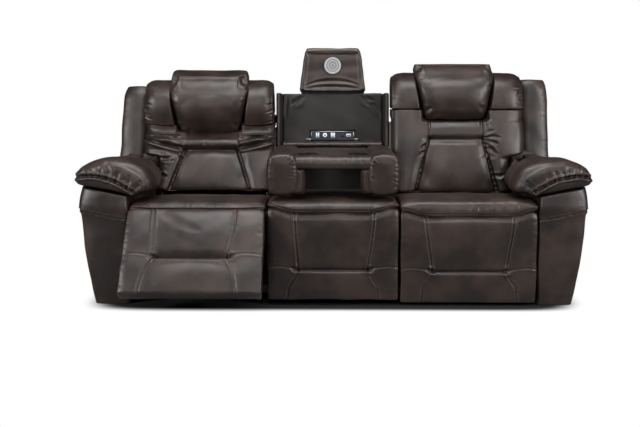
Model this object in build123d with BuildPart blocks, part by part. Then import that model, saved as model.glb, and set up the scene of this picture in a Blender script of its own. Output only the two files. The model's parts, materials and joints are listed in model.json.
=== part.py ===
"""Three-seat power reclining sofa with a drop-down middle console.

Frame: millimetres, +X to the right seen from the front, +Y to the back, +Z up.
The origin is on the floor under the middle of the sofa. Side profiles are drawn with
(depth, height) points: depth runs back from the face of the closed footrests.

The sofa stands with the left seat a little open and its headrest tilted forward, the right
seat closed, the console folded down and the lamp flap raised.
"""

from build123d import *
from math import atan2, cos, degrees, hypot, radians, sin, tan
import os

# ---------------------------------------------------------------- overall sizes
FRONT = -382.5  # Y of the closed footrests' face
HALF_WIDTH = 1132.0  # arm pads, outer edge
ARM_INNER = 897.0
MIDDLE_HALF = 286.0  # middle seat
SEAT_CENTRE = 592.5  # a reclining seat, from the middle of the sofa
SEAT_HALF = 298.0
BACK_INNER, BACK_OUTER = 299.0, 956.0
BACK_LOW_OUTER = 888.0  # the back narrows where it passes behind the arm
BACK_MIDDLE = 620.0  # middle of the tapered lumbar panel and of the pillow
PAD_BOTTOM = 28.0
SEAT_TOP = 490.0
BACK_TOP = 1014.0

# ---------------------------------------------------------------- motion
OPEN_TRAVEL = 90.0  # footrest, degrees from closed to open
RECLINE_TRAVEL = 25.0  # back, degrees from upright to reclined
LEFT_RECLINE = 10.0  # the left seat stands this far open
LEFT_OPEN = LEFT_RECLINE * OPEN_TRAVEL / RECLINE_TRAVEL
LEFT_TILT = 30.0  # and its headrest is tilted forward

# pivots of a reclining seat, as (depth, height)
BACK_PIVOT = (600.0, 400.0)
HEAD_PIVOT = (781.0, 800.0)
SWING_PIVOT = (300.0, 335.0)
SWING_LENGTH = 234.0
SWING_CLOSED = -110.0  # degrees, measured from straight ahead towards up
MID_ANGLE = 17.73
MID_LENGTH = 288.7
PARTNER_GAP = 70.0  # swing pivot to partner pivot, along the mid link
CONTROL_ARM = 50.0
CONTROL_ANGLE = 62.73
CRANK_LENGTH = 45.0
CRANK_CLOSED = -107.7
# the motor drives a straight line that splits the crank pin's arc
DRIVE_SLOPE = 27.3
DRIVE_CLOSED = (310.8, 286.4)
DRIVE_TRAVEL = 63.7
DRIVE_LENGTH = 347.0  # motor mount to crank pin, closed

# mechanism layers, from the middle of the seat outwards
BRACKET_LAYER, LINK_LAYER, SWING_LAYER, PLATE_LAYER, BACK_LAYER = 241.0, 248.0, 255.0, 262.0, 269.0
STEEL = 4.0
PIN_RADIUS = 5.0
RUNNING_GAP = 0.08

# console and the fixed surround behind it
CONSOLE_PIVOT = (575.0, 500.0)
CONSOLE_HALF = 290.0
BOLSTER_INNER = 160.0
TABLE_TOP = 650.0
CONSOLE_FRONT, CONSOLE_REAR, TABLE_REAR = 28.0, 600.0, 638.0
CUP_X, CUP_BACK, CUP_RADIUS, CUP_DEEP = 114.0, 235.0, 41.0, 62.0
PANEL = 820.0  # depth of the surround's face before it leans
PANEL_LOW, PANEL_TOP = 638.0, 921.0
LEAN_PIVOT, LEAN = (810.0, 690.0), 5.0
FLAP_HINGE = (809.0, 934.0)
LAMP_HEIGHT, LAMP_RADIUS = 1066.0, 43.5

os.makedirs("parts", exist_ok=True)
made = []


def yz(depth, height):
    """A point of a side profile."""
    return (FRONT + depth, height)


def reach(point, length, angle):
    """The point at that length from another, at an angle from straight ahead towards up."""
    return (point[0] - length * cos(radians(angle)), point[1] + length * sin(radians(angle)))


def turned(part, pivot, angle):
    """The part turned about a pivot: a positive angle takes its front up and its top back."""
    axis = Axis((0, FRONT + pivot[0], pivot[1]), (-1, 0, 0))
    return part.rotate(axis, angle)


def shifted(part, start, end):
    """The part carried from one pivot place to another."""
    return part.moved(Location((0, end[0] - start[0], end[1] - start[1])))


def keep(name, part):
    """Labels a finished piece and writes it."""
    part.label = name
    export_step(part, f"parts/{name}.step")
    made.append((name, part))


def link(a, b, half_width):
    """A flat bar outline with round ends between two pivots."""
    middle = ((a[0] + b[0]) / 2, (a[1] + b[1]) / 2)
    span = hypot(b[0] - a[0], b[1] - a[1])
    slope = degrees(atan2(b[1] - a[1], b[0] - a[0]))
    with Locations(yz(*middle)):
        SlotCenterToCenter(span, 2 * half_width, rotation=slope)


def side_start(centre, side, layer, thickness=STEEL):
    """X where a plate of one side's layer begins."""
    return centre + (layer if side > 0 else -layer - thickness)


def disc(pivot, radius, low, high, mode=Mode.ADD):
    """A cylinder along X about a pivot, between two X values."""
    with BuildSketch(Plane.YZ.offset(min(low, high))) as face:
        with Locations(yz(*pivot)):
            Circle(radius)
    extrude(face.sketch, amount=abs(high - low), mode=mode)


def plate(points, low, high):
    """A flat plate of a side profile, between two X values."""
    with BuildSketch(Plane.YZ.offset(min(low, high))) as face:
        with BuildLine():
            Polyline(*[yz(*point) for point in points], close=True)
        make_face()
    extrude(face.sketch, amount=abs(high - low))


def block(x0, x1, d0, d1, z0, z1, mode=Mode.ADD):
    """A box between two X values, two depths and two heights."""
    with Locations(((x0 + x1) / 2, FRONT + (d0 + d1) / 2, (z0 + z1) / 2)):
        Box(abs(x1 - x0), abs(d1 - d0), abs(z1 - z0), mode=mode)


# ---------------------------------------------------------------- upholstery sections
def seat_section(x, drop, inset, top):
    """Side profile of a seat cushion: a rounded nose over the footrest and a crowned top."""
    with BuildSketch(Plane.YZ.offset(x)) as profile:
        with BuildLine():
            lip_height = 453 - 0.8 * (SEAT_TOP - top)
            lip = yz(3 + inset, lip_height)
            crown = yz(78, top - drop)
            rear = yz(543 - inset, 462 - 0.6 * drop)
            ThreePointArc(lip, yz(17 + inset, top - 9 - 0.45 * drop), crown)
            ThreePointArc(crown, yz(320, top + 2 - drop), rear)
            Polyline(rear, yz(543 - inset, 418), yz(97, 418), yz(97, lip_height), lip)
        make_face()
    return profile.sketch


def pad_section(x, inset):
    """Side profile of a footrest pad: round top, tucked channel and two crowned panels."""
    pivot, radius, rear = (45.0, 393.0), 45.0 - inset, 70.0
    drop = (radius**2 - (rear - pivot[0]) ** 2) ** 0.5
    with BuildSketch(Plane.YZ.offset(x)) as profile:
        with BuildLine():
            brow = yz(inset, pivot[1])
            shoulder = yz(rear, pivot[1] + drop)
            ThreePointArc(brow, yz(pivot[0] - 0.6 * radius, pivot[1] + 0.8 * radius), shoulder)
            Polyline(shoulder, yz(rear, 32), yz(44, PAD_BOTTOM))
            ThreePointArc(yz(44, PAD_BOTTOM), yz(20 + inset, 32), yz(9 + inset, 48))
            ThreePointArc(yz(9 + inset, 48), yz(-3 + inset, 102), yz(4 + inset, 158))
            Polyline(yz(4 + inset, 158), yz(21 + inset, 167), yz(4 + inset, 176))
            ThreePointArc(yz(4 + inset, 176), yz(-5 + inset, 286), brow)
        make_face()
    return profile.sketch


def front_pad(x0, x1):
    """A footrest pad between two X values, drawn in at its sides."""
    shares = ((0, 10), (0.06, 3), (0.5, 0), (0.94, 3), (1, 10))
    with BuildPart() as pad:
        loft([pad_section(x0 + share * (x1 - x0), inset) for share, inset in shares])
    return pad.part


def back_section(height, hand, outer, groove, front, centre_front, valley, rear):
    """Plan of a back cushion: two side bolsters and a centre panel between sewn valleys."""
    low, high = sorted((hand * BACK_INNER, hand * outer))
    middle = hand * BACK_MIDDLE
    left, right = middle - groove, middle + groove
    with BuildSketch(Plane.XY.offset(height)) as plan:
        with BuildLine():
            outer_left, outer_right = (low, FRONT + front + 26), (high, FRONT + front + 26)
            seam_left, seam_right = (left, FRONT + valley), (right, FRONT + valley)
            ThreePointArc(outer_left, ((low + left) / 2, FRONT + front), seam_left)
            ThreePointArc(seam_left, (middle, FRONT + centre_front), seam_right)
            ThreePointArc(seam_right, ((high + right) / 2, FRONT + front), outer_right)
            Polyline(outer_right, (high, FRONT + rear), (low, FRONT + rear), outer_left)
        make_face()
    return plan.sketch


def wing_section(height, x0, x1, front, rear, round_in):
    """Plan of an upright bolster: a rounded front and a flat back."""
    low, high = sorted((x0, x1))
    with BuildSketch(Plane.XY.offset(height)) as plan:
        with BuildLine():
            a = (low, FRONT + front + round_in)
            b = (high, FRONT + front + round_in)
            ThreePointArc(a, ((low + high) / 2, FRONT + front), b)
            Polyline(b, (high, FRONT + rear), (low, FRONT + rear), a)
        make_face()
    return plan.sketch


def pillow_section(height, middle, half, front, rear):
    """Plan of a headrest pillow: crowned front, rounded sides, flat back."""
    edge = front + 0.35 * (rear - front)
    with BuildSketch(Plane.XY.offset(height)) as plan:
        with BuildLine():
            a, b = (middle - half + 22, FRONT + edge - 6), (middle + half - 22, FRONT + edge - 6)
            c, d = (middle + half - 4, FRONT + rear), (middle - half + 4, FRONT + rear)
            side = FRONT + 0.5 * (edge + rear)
            ThreePointArc(a, (middle, FRONT + front), b)
            ThreePointArc(b, (middle + half, side), c)
            Line(c, d)
            ThreePointArc(d, (middle - half, side), a)
        make_face()
    return plan.sketch


def cushion_section(depth, x0, x1, z0, z1, bulge):
    """Front section of a cushion block with four crowned sides."""
    low, high = sorted((x0, x1))
    with BuildSketch(Plane.XZ.offset(-(FRONT + depth))) as face:
        with BuildLine():
            a, b = (low + bulge, z0 + bulge), (high - bulge, z0 + bulge)
            c, d = (high - bulge, z1 - bulge), (low + bulge, z1 - bulge)
            mid_x, mid_z = (low + high) / 2, (z0 + z1) / 2
            ThreePointArc(a, (mid_x, z0), b)
            ThreePointArc(b, (high, mid_z), c)
            ThreePointArc(c, (mid_x, z1), d)
            ThreePointArc(d, (low, mid_z), a)
        make_face()
    return face.sketch


def rear_line(height):
    """Depth of a back frame's front face at a height."""
    return 652.0 + (height - 440.0) * tan(radians(10))


# ---------------------------------------------------------------- one reclining seat
def recliner(name, hand, recline, opening, tilt, lumbar_top):
    """Builds every piece of a reclining seat. hand is -1 on the left and +1 on the right."""
    centre = hand * SEAT_CENTRE
    inner, outer, low_outer = hand * BACK_INNER, hand * BACK_OUTER, hand * BACK_LOW_OUTER
    back_middle = hand * BACK_MIDDLE

    def back_pose(part):
        return turned(part, BACK_PIVOT, recline)

    def head_pose(part):
        return turned(turned(part, HEAD_PIVOT, -tilt), BACK_PIVOT, recline)

    # back cushion: side bolsters and the tapered lumbar panel
    rise = lumbar_top - 440.0
    with BuildPart() as cushion:
        loft(
            [
                back_section(
                    440 + share * rise,
                    hand,
                    BACK_LOW_OUTER,
                    202 - 66 * share,
                    546 + 50 * share + pull,
                    561 + 52 * share + pull,
                    586 + 52 * share + pull,
                    rear_line(440 + share * rise) - 1,
                )
                for share, pull in ((0, 14), (0.1, 2), (0.5, -4), (0.9, 0), (1, 14))
            ]
        )
    keep(f"{name}_back_cushion", back_pose(cushion.part))

    # soft fold between the lumbar cushion and the headrest, squeezed as the headrest tilts
    fold_low = lumbar_top + 4
    fold_top = 790.0 if tilt == 0 else 702.0
    fold_outer = BACK_OUTER if tilt == 0 else BACK_LOW_OUTER
    with BuildPart() as fold:
        loft(
            [
                back_section(
                    height,
                    hand,
                    fold_outer,
                    140,
                    585 + 0.36 * (height - 690) + pull,
                    600 + 0.36 * (height - 690) + pull,
                    622 + 0.36 * (height - 690) + pull,
                    rear_line(height) - 1,
                )
                for height, pull in (
                    (fold_low, 14),
                    (fold_low + 0.12 * (fold_top - fold_low), 3),
                    ((fold_low + fold_top) / 2, 0),
                    (fold_top - 0.12 * (fold_top - fold_low), 3),
                    (fold_top, 14),
                )
            ]
        )
    keep(f"{name}_fold_roll", back_pose(fold.part))

    # wooden back frame with its steel pivot brackets and the lower half of the head hinge
    slant = tan(radians(10))
    with BuildPart() as frame:
        for x in (centre - 280, centre + 262):
            low, high = rear_line(470), rear_line(770)
            plate(((low, 470), (high, 770), (high + 26, 770), (low + 26, 470)), x, x + 18)
        for height in (480, 590, 690):
            low = rear_line(height) + 1
            high = low + 35 * slant
            plate(
                ((low, height), (high, height + 35), (high + 22, height + 35), (low + 22, height)),
                centre - 262,
                centre + 262,
            )
        for side in (-1, 1):
            x = side_start(centre, side, BACK_LAYER)
            plate(
                (
                    (592, 388),
                    (616, 386),
                    (678, 436),
                    (rear_line(470) + 22, 470),
                    (rear_line(560) + 22, 560),
                    (rear_line(560) + 2, 560),
                    (rear_line(470) + 2, 470),
                    (655, 437),
                    (592, 414),
                ),
                x,
                x + STEEL,
            )
            disc(BACK_PIVOT, 16, x, x + STEEL)
            disc(BACK_PIVOT, PIN_RADIUS + 1, x, centre + side * 259)
            ear = centre + side * 190
            plate(
                (
                    (rear_line(700) + 2, 700),
                    (rear_line(700) + 20, 700),
                    (735, 773),
                    (745, 779.5),
                    (790, 793),
                    (790, 803),
                    (774, 808),
                    (716, 790),
                ),
                ear - 3,
                ear + 3,
            )
            disc(HEAD_PIVOT, 10, ear - 3, ear + 3)
            disc(HEAD_PIVOT, PIN_RADIUS + RUNNING_GAP, ear - 3, ear + 3, mode=Mode.SUBTRACT)
    keep(f"{name}_back_frame", back_pose(frame.part))

    # outside back: an upholstered shell behind the frame, with the outer wing beside it
    with BuildPart() as cover:
        for x_end, z_low, z_high in ((low_outer, 345, 560), (outer, 560.5, 776)):
            with BuildSketch(Plane.YZ.offset(min(inner, x_end))):
                with BuildLine():
                    low_front = yz(rear_line(z_low) + 30, z_low)
                    low_rear = yz(rear_line(z_low) + 84, z_low + 6)
                    high_rear = yz(rear_line(z_high) + 84, z_high - 6)
                    high_front = yz(rear_line(z_high) + 30, z_high)
                    Line(low_front, low_rear)
                    middle = (z_low + z_high) / 2
                    ThreePointArc(low_rear, yz(rear_line(middle) + 87, middle), high_rear)
                    Polyline(high_rear, high_front, low_front)
                make_face()
            extrude(amount=abs(x_end - inner))
    stations = ((446, 8, 14), (480, 0, 0), (720, 2, 0), (900, 8, 0), (962, 14, 12), (978, 34, 34))
    with BuildPart() as wing:
        loft(
            [
                wing_section(
                    height,
                    hand * 962,
                    hand * (1118 - trim),
                    702 + 0.17 * (height - 440) + front,
                    800 + 0.17 * (height - 440) - 0.4 * front,
                    30,
                )
                for height, trim, front in stations
            ],
            ruled=True,
        )
        block(hand * 894, hand * 980, 712, 776, 452, 556)
    pieces = [back_pose(cover.part), back_pose(wing.part)]
    keep(f"{name}_back_cover", Compound(children=[s for p in pieces for s in p.solids()]))

    # headrest: steel frame with hinge knuckles and pin, upholstered block, hanging pillow
    with BuildPart() as head_frame:
        plate(((788, 838), (792, 838), (812, 980), (808, 980)), centre - 205, centre + 205)
        for side in (-1, 1):
            for offset in (178, 195):
                x = centre + side * offset
                plate(
                    ((772, 800), (790, 800), (796, 850), (789.7, 850)), x, x + side * 6
                )
                disc(HEAD_PIVOT, 10, x, x + side * 6)
            disc(HEAD_PIVOT, PIN_RADIUS, centre + side * 176, centre + side * 203)
    keep(f"{name}_head_frame", head_pose(head_frame.part))

    with BuildPart() as head:
        for x, inset in (
            (inner, 14),
            (inner + hand * 40, 3),
            (hand * 628, 0),
            (outer - hand * 40, 3),
            (outer, 14),
        ):
            with BuildSketch(Plane.YZ.offset(x)):
                with BuildLine():
                    chin = yz(656 + inset, 834)
                    brow = yz(714 + 0.5 * inset, BACK_TOP - 21 - inset)
                    nape = yz(852 - inset, BACK_TOP - 5 - inset)
                    heel = yz(858 - inset, 822)
                    ThreePointArc(chin, yz(664 + inset, 925), brow)
                    ThreePointArc(brow, yz(782, BACK_TOP - inset), nape)
                    ThreePointArc(nape, yz(870 - inset, 920), heel)
                    Line(heel, chin)
                make_face()
        loft(ruled=True)
        with BuildSketch(Plane.XZ.offset(-(FRONT + 745))):
            with BuildLine():
                Polyline(
                    (back_middle - 152, 780),
                    (back_middle + 152, 780),
                    (back_middle + 207, 1080),
                    (back_middle - 207, 1080),
                    close=True,
                )
            make_face()
        extrude(amount=150, mode=Mode.SUBTRACT)
        with Locations((centre, FRONT + 800, 909)):
            Box(416, 30, 152, rotation=(-8, 0, 0), mode=Mode.SUBTRACT)
        for side in (-1, 1):
            x = centre + side * 190
            block(x - 15, x + 15, 768, 804, 815, 860, mode=Mode.SUBTRACT)
    keep(f"{name}_head_cushion", head_pose(head.part))

    with BuildPart() as pillow:
        low_stations = (
            (796, 128, 652, 730),
            (812, 146, 639, 736),
            (880, 160, 630, 742),
            (960, 178, 654, 742),
            (1021, 192, 702, 742),
        )
        loft([pillow_section(z, back_middle, half, f, r) for z, half, f, r in low_stations])
        top_stations = (
            (1021, 192, 702, 742),
            (1028, 195, 710, 846),
            (1051, 193, 742, 860),
            (1064, 180, 784, 850),
        )
        loft(
            [pillow_section(z, back_middle, half, f, r) for z, half, f, r in top_stations],
            ruled=True,
        )
    keep(f"{name}_head_pillow", head_pose(pillow.part))

    # footrest linkage, drawn where the seat's opening puts it
    swing_end = reach(SWING_PIVOT, SWING_LENGTH, SWING_CLOSED + opening)
    control_start = reach(swing_end, CONTROL_ARM, CONTROL_ANGLE + opening)
    partner_pivot = reach(SWING_PIVOT, PARTNER_GAP, MID_ANGLE)
    partner_end = reach(swing_end, PARTNER_GAP, MID_ANGLE)
    mid_end = reach(swing_end, MID_LENGTH, MID_ANGLE)
    control_end = reach(control_start, MID_LENGTH, MID_ANGLE)
    crank_end = reach(SWING_PIVOT, CRANK_LENGTH, CRANK_CLOSED + opening)

    with BuildPart() as swing:
        for side in (-1, 1):
            x = side_start(centre, side, SWING_LAYER)
            with BuildSketch(Plane.YZ.offset(x)):
                link(SWING_PIVOT, swing_end, 12)
                link(swing_end, control_start, 11)
            extrude(amount=STEEL)
            disc(SWING_PIVOT, PIN_RADIUS, x, centre + side * 268)
            disc(swing_end, PIN_RADIUS, x, centre + side * 246.5)
            disc(control_start, PIN_RADIUS, x, centre + side * 246.5)
        disc(SWING_PIVOT, 10.5, centre - SWING_LAYER, centre + SWING_LAYER)
        with BuildSketch(Plane.YZ.offset(centre - 3)):
            link(SWING_PIVOT, reach(SWING_PIVOT, CRANK_LENGTH + 4, CRANK_CLOSED + opening), 19)
            with Locations(yz(*crank_end)):
                Circle(13.5, mode=Mode.SUBTRACT)
        extrude(amount=6)
    keep(f"{name}_swing_links", swing.part)

    with BuildPart() as partner:
        for side in (-1, 1):
            x = side_start(centre, side, SWING_LAYER)
            with BuildSketch(Plane.YZ.offset(x)):
                link(partner_pivot, partner_end, 11)
            extrude(amount=STEEL)
            disc(partner_pivot, PIN_RADIUS, x, centre + side * 268)
            disc(partner_end, PIN_RADIUS, x, centre + side * 246.5)
    keep(f"{name}_partner_links", partner.part)

    with BuildPart() as mid:
        for side in (-1, 1):
            with BuildSketch(Plane.YZ.offset(side_start(centre, side, LINK_LAYER))):
                link(swing_end, mid_end, 11)
                for pivot in (swing_end, partner_end, mid_end):
                    with Locations(yz(*pivot)):
                        Circle(PIN_RADIUS + RUNNING_GAP, mode=Mode.SUBTRACT)
            extrude(amount=STEEL)
    keep(f"{name}_mid_links", mid.part)

    with BuildPart() as control:
        for side in (-1, 1):
            with BuildSketch(Plane.YZ.offset(side_start(centre, side, LINK_LAYER))):
                link(control_start, control_end, 9.5)
                for pivot in (control_start, control_end):
                    with Locations(yz(*pivot)):
                        Circle(PIN_RADIUS + RUNNING_GAP, mode=Mode.SUBTRACT)
            extrude(amount=STEEL)
    keep(f"{name}_control_links", control.part)

    # footrest: board with steel brackets, then its pad
    closed_end = reach(reach(SWING_PIVOT, SWING_LENGTH, SWING_CLOSED), MID_LENGTH, MID_ANGLE)
    closed_control = reach(closed_end, CONTROL_ARM, CONTROL_ANGLE)

    def foot_pose(part):
        return shifted(turned(part, closed_end, opening), closed_end, mid_end)

    with BuildPart() as board:
        block(centre - 238, centre + 238, 71, 86, 60, 390)
        for side in (-1, 1):
            x = side_start(centre, side, BRACKET_LAYER)
            with BuildSketch(Plane.YZ.offset(x)):
                link(closed_end, closed_control, 10.5)
                with Locations(yz(97, 225)):
                    Rectangle(20, 90)
            extrude(amount=STEEL)
            block(centre + side * 200, centre + side * 245, 86, 89, 180, 270)
            for pivot in (closed_end, closed_control):
                disc(pivot, PIN_RADIUS, x, centre + side * 253.5)
    keep(f"{name}_footrest_frame", foot_pose(board.part))
    pad = front_pad(centre - SEAT_HALF + 2, centre + SEAT_HALF - 2)
    keep(f"{name}_footrest_pad", foot_pose(pad))

    # drive: a rod slides out of the motor's tube and turns the crank through a pin
    slope = DRIVE_SLOPE
    drive_pin = reach(DRIVE_CLOSED, DRIVE_TRAVEL * opening / OPEN_TRAVEL, slope)
    with BuildPart() as rod:
        for side in (-1, 1):
            with BuildSketch(Plane.YZ.offset(centre + (5 if side > 0 else -9))):
                link(drive_pin, reach(drive_pin, -52, slope), 9)
            extrude(amount=STEEL)
        disc(drive_pin, 4.5, centre - 9, centre + 9)
        with BuildSketch(Plane.YZ.offset(centre - 9)):
            link(reach(drive_pin, -40, slope), reach(drive_pin, -52, slope), 8)
        extrude(amount=18)
        start = reach(drive_pin, -46, slope)
        axis = (0, cos(radians(slope)), -sin(radians(slope)))
        with BuildSketch(Plane(origin=(centre, FRONT + start[0], start[1]), z_dir=axis)):
            Circle(6)
        extrude(amount=80)
    keep(f"{name}_drive_rod", rod.part)


recliner("left", -1, LEFT_RECLINE, LEFT_OPEN, LEFT_TILT, 640.0)
recliner("right", 1, 0.0, 0.0, 0.0, 690.0)

# ---------------------------------------------------------------- seat cushions and middle front
for seat_name, x0, x1, top in (
    ("left_seat_cushion", -SEAT_CENTRE - SEAT_HALF, -SEAT_CENTRE + SEAT_HALF, SEAT_TOP),
    ("middle_seat_cushion", -MIDDLE_HALF, MIDDLE_HALF, SEAT_TOP - 14),
    ("right_seat_cushion", SEAT_CENTRE - SEAT_HALF, SEAT_CENTRE + SEAT_HALF, SEAT_TOP),
):
    half_shares = ((0, 27, 9), (0.025, 17, 5), (0.08, 10, 2), (0.25, 3, 0))
    shares = half_shares + tuple((1 - share, drop, inset) for share, drop, inset in half_shares[::-1])
    with BuildPart() as cushion:
        loft(
            [
                seat_section(x0 + share * (x1 - x0), drop, inset, top)
                for share, drop, inset in shares
            ],
            ruled=True,
        )
    keep(seat_name, cushion.part)
keep("middle_front_pad", front_pad(-MIDDLE_HALF, MIDDLE_HALF))

# ---------------------------------------------------------------- seat frames, springs, plates
FRAME_LOW, FRAME_HIGH = 352.0, 408.0
FRAME_FRONT, FRAME_REAR = 104.0, 556.0
with BuildPart() as seat_frames:
    for x in (-SEAT_CENTRE, 0, SEAT_CENTRE):
        for depth in (FRAME_FRONT, FRAME_REAR - 20):
            block(x - 235, x + 235, depth, depth + 20, FRAME_LOW, FRAME_HIGH)
        for side in (-1, 1):
            block(
                x + side * 215, x + side * 235, FRAME_FRONT + 20.1, FRAME_REAR - 20.1, FRAME_LOW, FRAME_HIGH
            )
            if x:
                block(x + side * 235.1, x + side * 261.9, 484, 540, FRAME_LOW, FRAME_HIGH)
    # uprights that carry the middle seat and its fixed front panel
    for side in (-1, 1):
        block(side * 195, side * 235, 72, 90, 60, 400)
        block(side * 215, side * 235, 90.1, 103.9, FRAME_LOW, 400)
        for depth in (132, 500):
            block(side * 215, side * 235, depth, depth + 36, 59.5, FRAME_LOW - 0.1)
    # arm frames, closed in by their covers
    for hand in (-1, 1):
        for x in (930, 1008):
            for depth in (60, 640):
                block(hand * x - 15, hand * x + 15, depth - 15, depth + 15, 25, 410)
            for height in (60, 388):
                block(hand * x - 15, hand * x + 15, 75.1, 624.9, height - 20, height + 20)
keep("timber_frames", seat_frames.part)

SPRING_ROWS, SPRING_TURNS = 4, 8
with BuildPart() as springs:
    pitch = (FRAME_REAR - FRAME_FRONT) / SPRING_TURNS
    for x in (-SEAT_CENTRE, 0, SEAT_CENTRE):
        for row in range(SPRING_ROWS):
            spring_x = x + (row - (SPRING_ROWS - 1) / 2) * 104
            points = [(spring_x, FRONT + FRAME_FRONT + 4)]
            for turn in range(SPRING_TURNS):
                swing_x = spring_x + (22 if turn % 2 else -22)
                y = FRONT + FRAME_FRONT + turn * pitch
                points += [(swing_x, y + 0.3 * pitch), (swing_x, y + 0.7 * pitch)]
            points.append((spring_x, FRONT + FRAME_REAR - 4))
            with BuildSketch(Plane.XY.offset(FRAME_HIGH)):
                with BuildLine():
                    Polyline(*points)
                trace(line_width=4)
            extrude(amount=4)
keep("seat_springs", springs.part)

with BuildPart() as plates:
    for centre in (-SEAT_CENTRE, SEAT_CENTRE):
        for side in (-1, 1):
            with BuildSketch(Plane.YZ.offset(side_start(centre, side, PLATE_LAYER))):
                with BuildLine():
                    Polyline(
                        yz(196, 345),
                        yz(212, 378),
                        yz(330, 378),
                        yz(546, 410),
                        yz(566, 428),
                        yz(618, 428),
                        yz(618, 384),
                        yz(600, 60),
                        yz(540, 60),
                        yz(516, 300),
                        yz(330, 308),
                        yz(250, 325),
                        close=True,
                    )
                make_face()
                for pivot, radius in (
                    (SWING_PIVOT, PIN_RADIUS),
                    (reach(SWING_PIVOT, PARTNER_GAP, MID_ANGLE), PIN_RADIUS),
                    (BACK_PIVOT, PIN_RADIUS + 1),
                ):
                    with Locations(yz(*pivot)):
                        Circle(radius + RUNNING_GAP, mode=Mode.SUBTRACT)
            extrude(amount=STEEL)
keep("mechanism_plates", plates.part)

# ---------------------------------------------------------------- base
RAIL_FRONT, RAIL_REAR = 150.0, 585.0
RAIL_LOW, RAIL_HIGH = 25.0, 59.0
with BuildPart() as rails:
    for depth in (RAIL_FRONT, RAIL_REAR):
        block(-914.8, 914.8, depth - 20, depth + 20, RAIL_LOW, RAIL_HIGH)
    for x in (SEAT_CENTRE - PLATE_LAYER - 2, SEAT_CENTRE + PLATE_LAYER + 2, 240):
        for hand in (-1, 1):
            block(
                hand * x - 15, hand * x + 15, RAIL_FRONT + 20.1, RAIL_REAR - 20.1, RAIL_LOW, RAIL_HIGH
            )
keep("base_rails", rails.part)

with BuildPart() as glides:
    for x in (-1000, -600, -240, 240, 600, 1000):
        for depth in (RAIL_FRONT, RAIL_REAR) if abs(x) < 900 else (60, 640):
            with Locations((x, FRONT + depth, 0)):
                Cylinder(22, 24.9, align=(Align.CENTER, Align.CENTER, Align.MIN))
    chamfer(glides.edges().filter_by(GeomType.CIRCLE).group_by(Axis.Z)[0], 3)
keep("floor_glides", glides.part)

with BuildPart() as motors:
    block(-85, 85, 350, 440, 63, 112)
    block(-254, 254, 368, 422, 59.2, 63)
    for hand in (-1, 1):
        x = hand * SEAT_CENTRE
        slope = DRIVE_SLOPE
        mount = reach(DRIVE_CLOSED, -DRIVE_LENGTH, slope)
        with BuildSketch(Plane.YZ.offset(x - 28)):
            link(reach(mount, 34, slope), reach(mount, 92, slope), 25)
        extrude(amount=56)
        start = reach(mount, 90, slope)
        axis = (0, -cos(radians(slope)), sin(radians(slope)))
        tube = Plane(origin=(x, FRONT + start[0], start[1]), z_dir=axis)
        with BuildSketch(tube):
            Circle(14)
        extrude(amount=145)
        block(x - 20, x + 20, 582, 626, 59.2, 112)
        with BuildSketch(tube.offset(60)):
            Circle(8)
        extrude(amount=90, mode=Mode.SUBTRACT)
keep("motors_and_supply", motors.part)

# ---------------------------------------------------------------- arms
ARM_BODY = (
    # height, inner x, outer x, front depth, rear depth, front rounding
    (26, 900, 1046, 22, 676, 26),
    (140, 899, 1080, 6, 684, 30),
    (300, 898, 1102, 0, 688, 32),
    (404, 897, 1110, 0, 690, 34),
)
ARM_COLLAR = (
    (404, 897, 1112, -6, 690, 34),
    (424, 897, 1116, -9, 690, 36),
    (470, 898, 1114, -4, 690, 38),
    (530, 902, 1104, 12, 688, 40),
)
CHIN, HEEL = (880.0, 482.0), (1086.0, 520.0)
SEAT_SLOPE = (HEEL[1] - CHIN[1]) / (HEEL[0] - CHIN[0])


def pad_underside(x):
    """Height of the arm pads' flat underside at a distance from the middle of the sofa."""
    return CHIN[1] + SEAT_SLOPE * (x - CHIN[0])


def arm_section(height, inner, outer, front, rear, rounding, hand):
    """Plan of an arm: square inside, rounded at the outer front corner."""
    with BuildSketch(Plane.XY.offset(height)) as plan:
        with BuildLine():
            a = (hand * inner, FRONT + front + 8)
            b = (hand * (inner + 8), FRONT + front)
            c = (hand * (outer - 1.2 * rounding), FRONT + front)
            e = (hand * outer, FRONT + front + 1.2 * rounding)
            mid = (hand * (outer - 0.35 * rounding), FRONT + front + 0.35 * rounding)
            Polyline(a, b, c)
            ThreePointArc(c, mid, e)
            Polyline(e, (hand * outer, FRONT + rear), (hand * inner, FRONT + rear), a)
        make_face()
    return plan.sketch


def arm_pad_section(depth, outer_trim, inner_x, top_trim, bottom_trim, hand):
    """Front section of an arm pad: an almond that leans over the seat."""
    wide = inner_x < 895
    chin_x = max(CHIN[0], inner_x + 72) if wide else inner_x + 20
    nose_z, chin_z = (522 if wide else 560), pad_underside(chin_x) + bottom_trim
    with BuildSketch(Plane.XZ.offset(-(FRONT + depth))) as face:
        with BuildLine():
            tip = (hand * (HALF_WIDTH - outer_trim), 556)
            nose = (hand * (inner_x + 2), nose_z)
            top = (hand * (0.5 * (HALF_WIDTH + inner_x) + 26), 640 - top_trim)
            high_out = (hand * (HALF_WIDTH - 38 - outer_trim), 618 - 0.8 * top_trim)
            high_in = (hand * (inner_x + 62), (596 if wide else 622) - top_trim)
            chin = (hand * chin_x, chin_z)
            heel = (hand * (HEEL[0] - outer_trim), pad_underside(HEEL[0] - outer_trim) + bottom_trim)
            under_x = inner_x + (0.42 * (chin_x - inner_x) if wide else 3)
            under = (hand * under_x, nose_z - (0.63 if wide else 0.45) * (nose_z - chin_z))
            ThreePointArc(tip, high_out, top)
            ThreePointArc(top, high_in, nose)
            ThreePointArc(nose, under, chin)
            Line(chin, heel)
            ThreePointArc(heel, (hand * (HALF_WIDTH - 13 - outer_trim), 532), tip)
        make_face()
    return face.sketch



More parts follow.
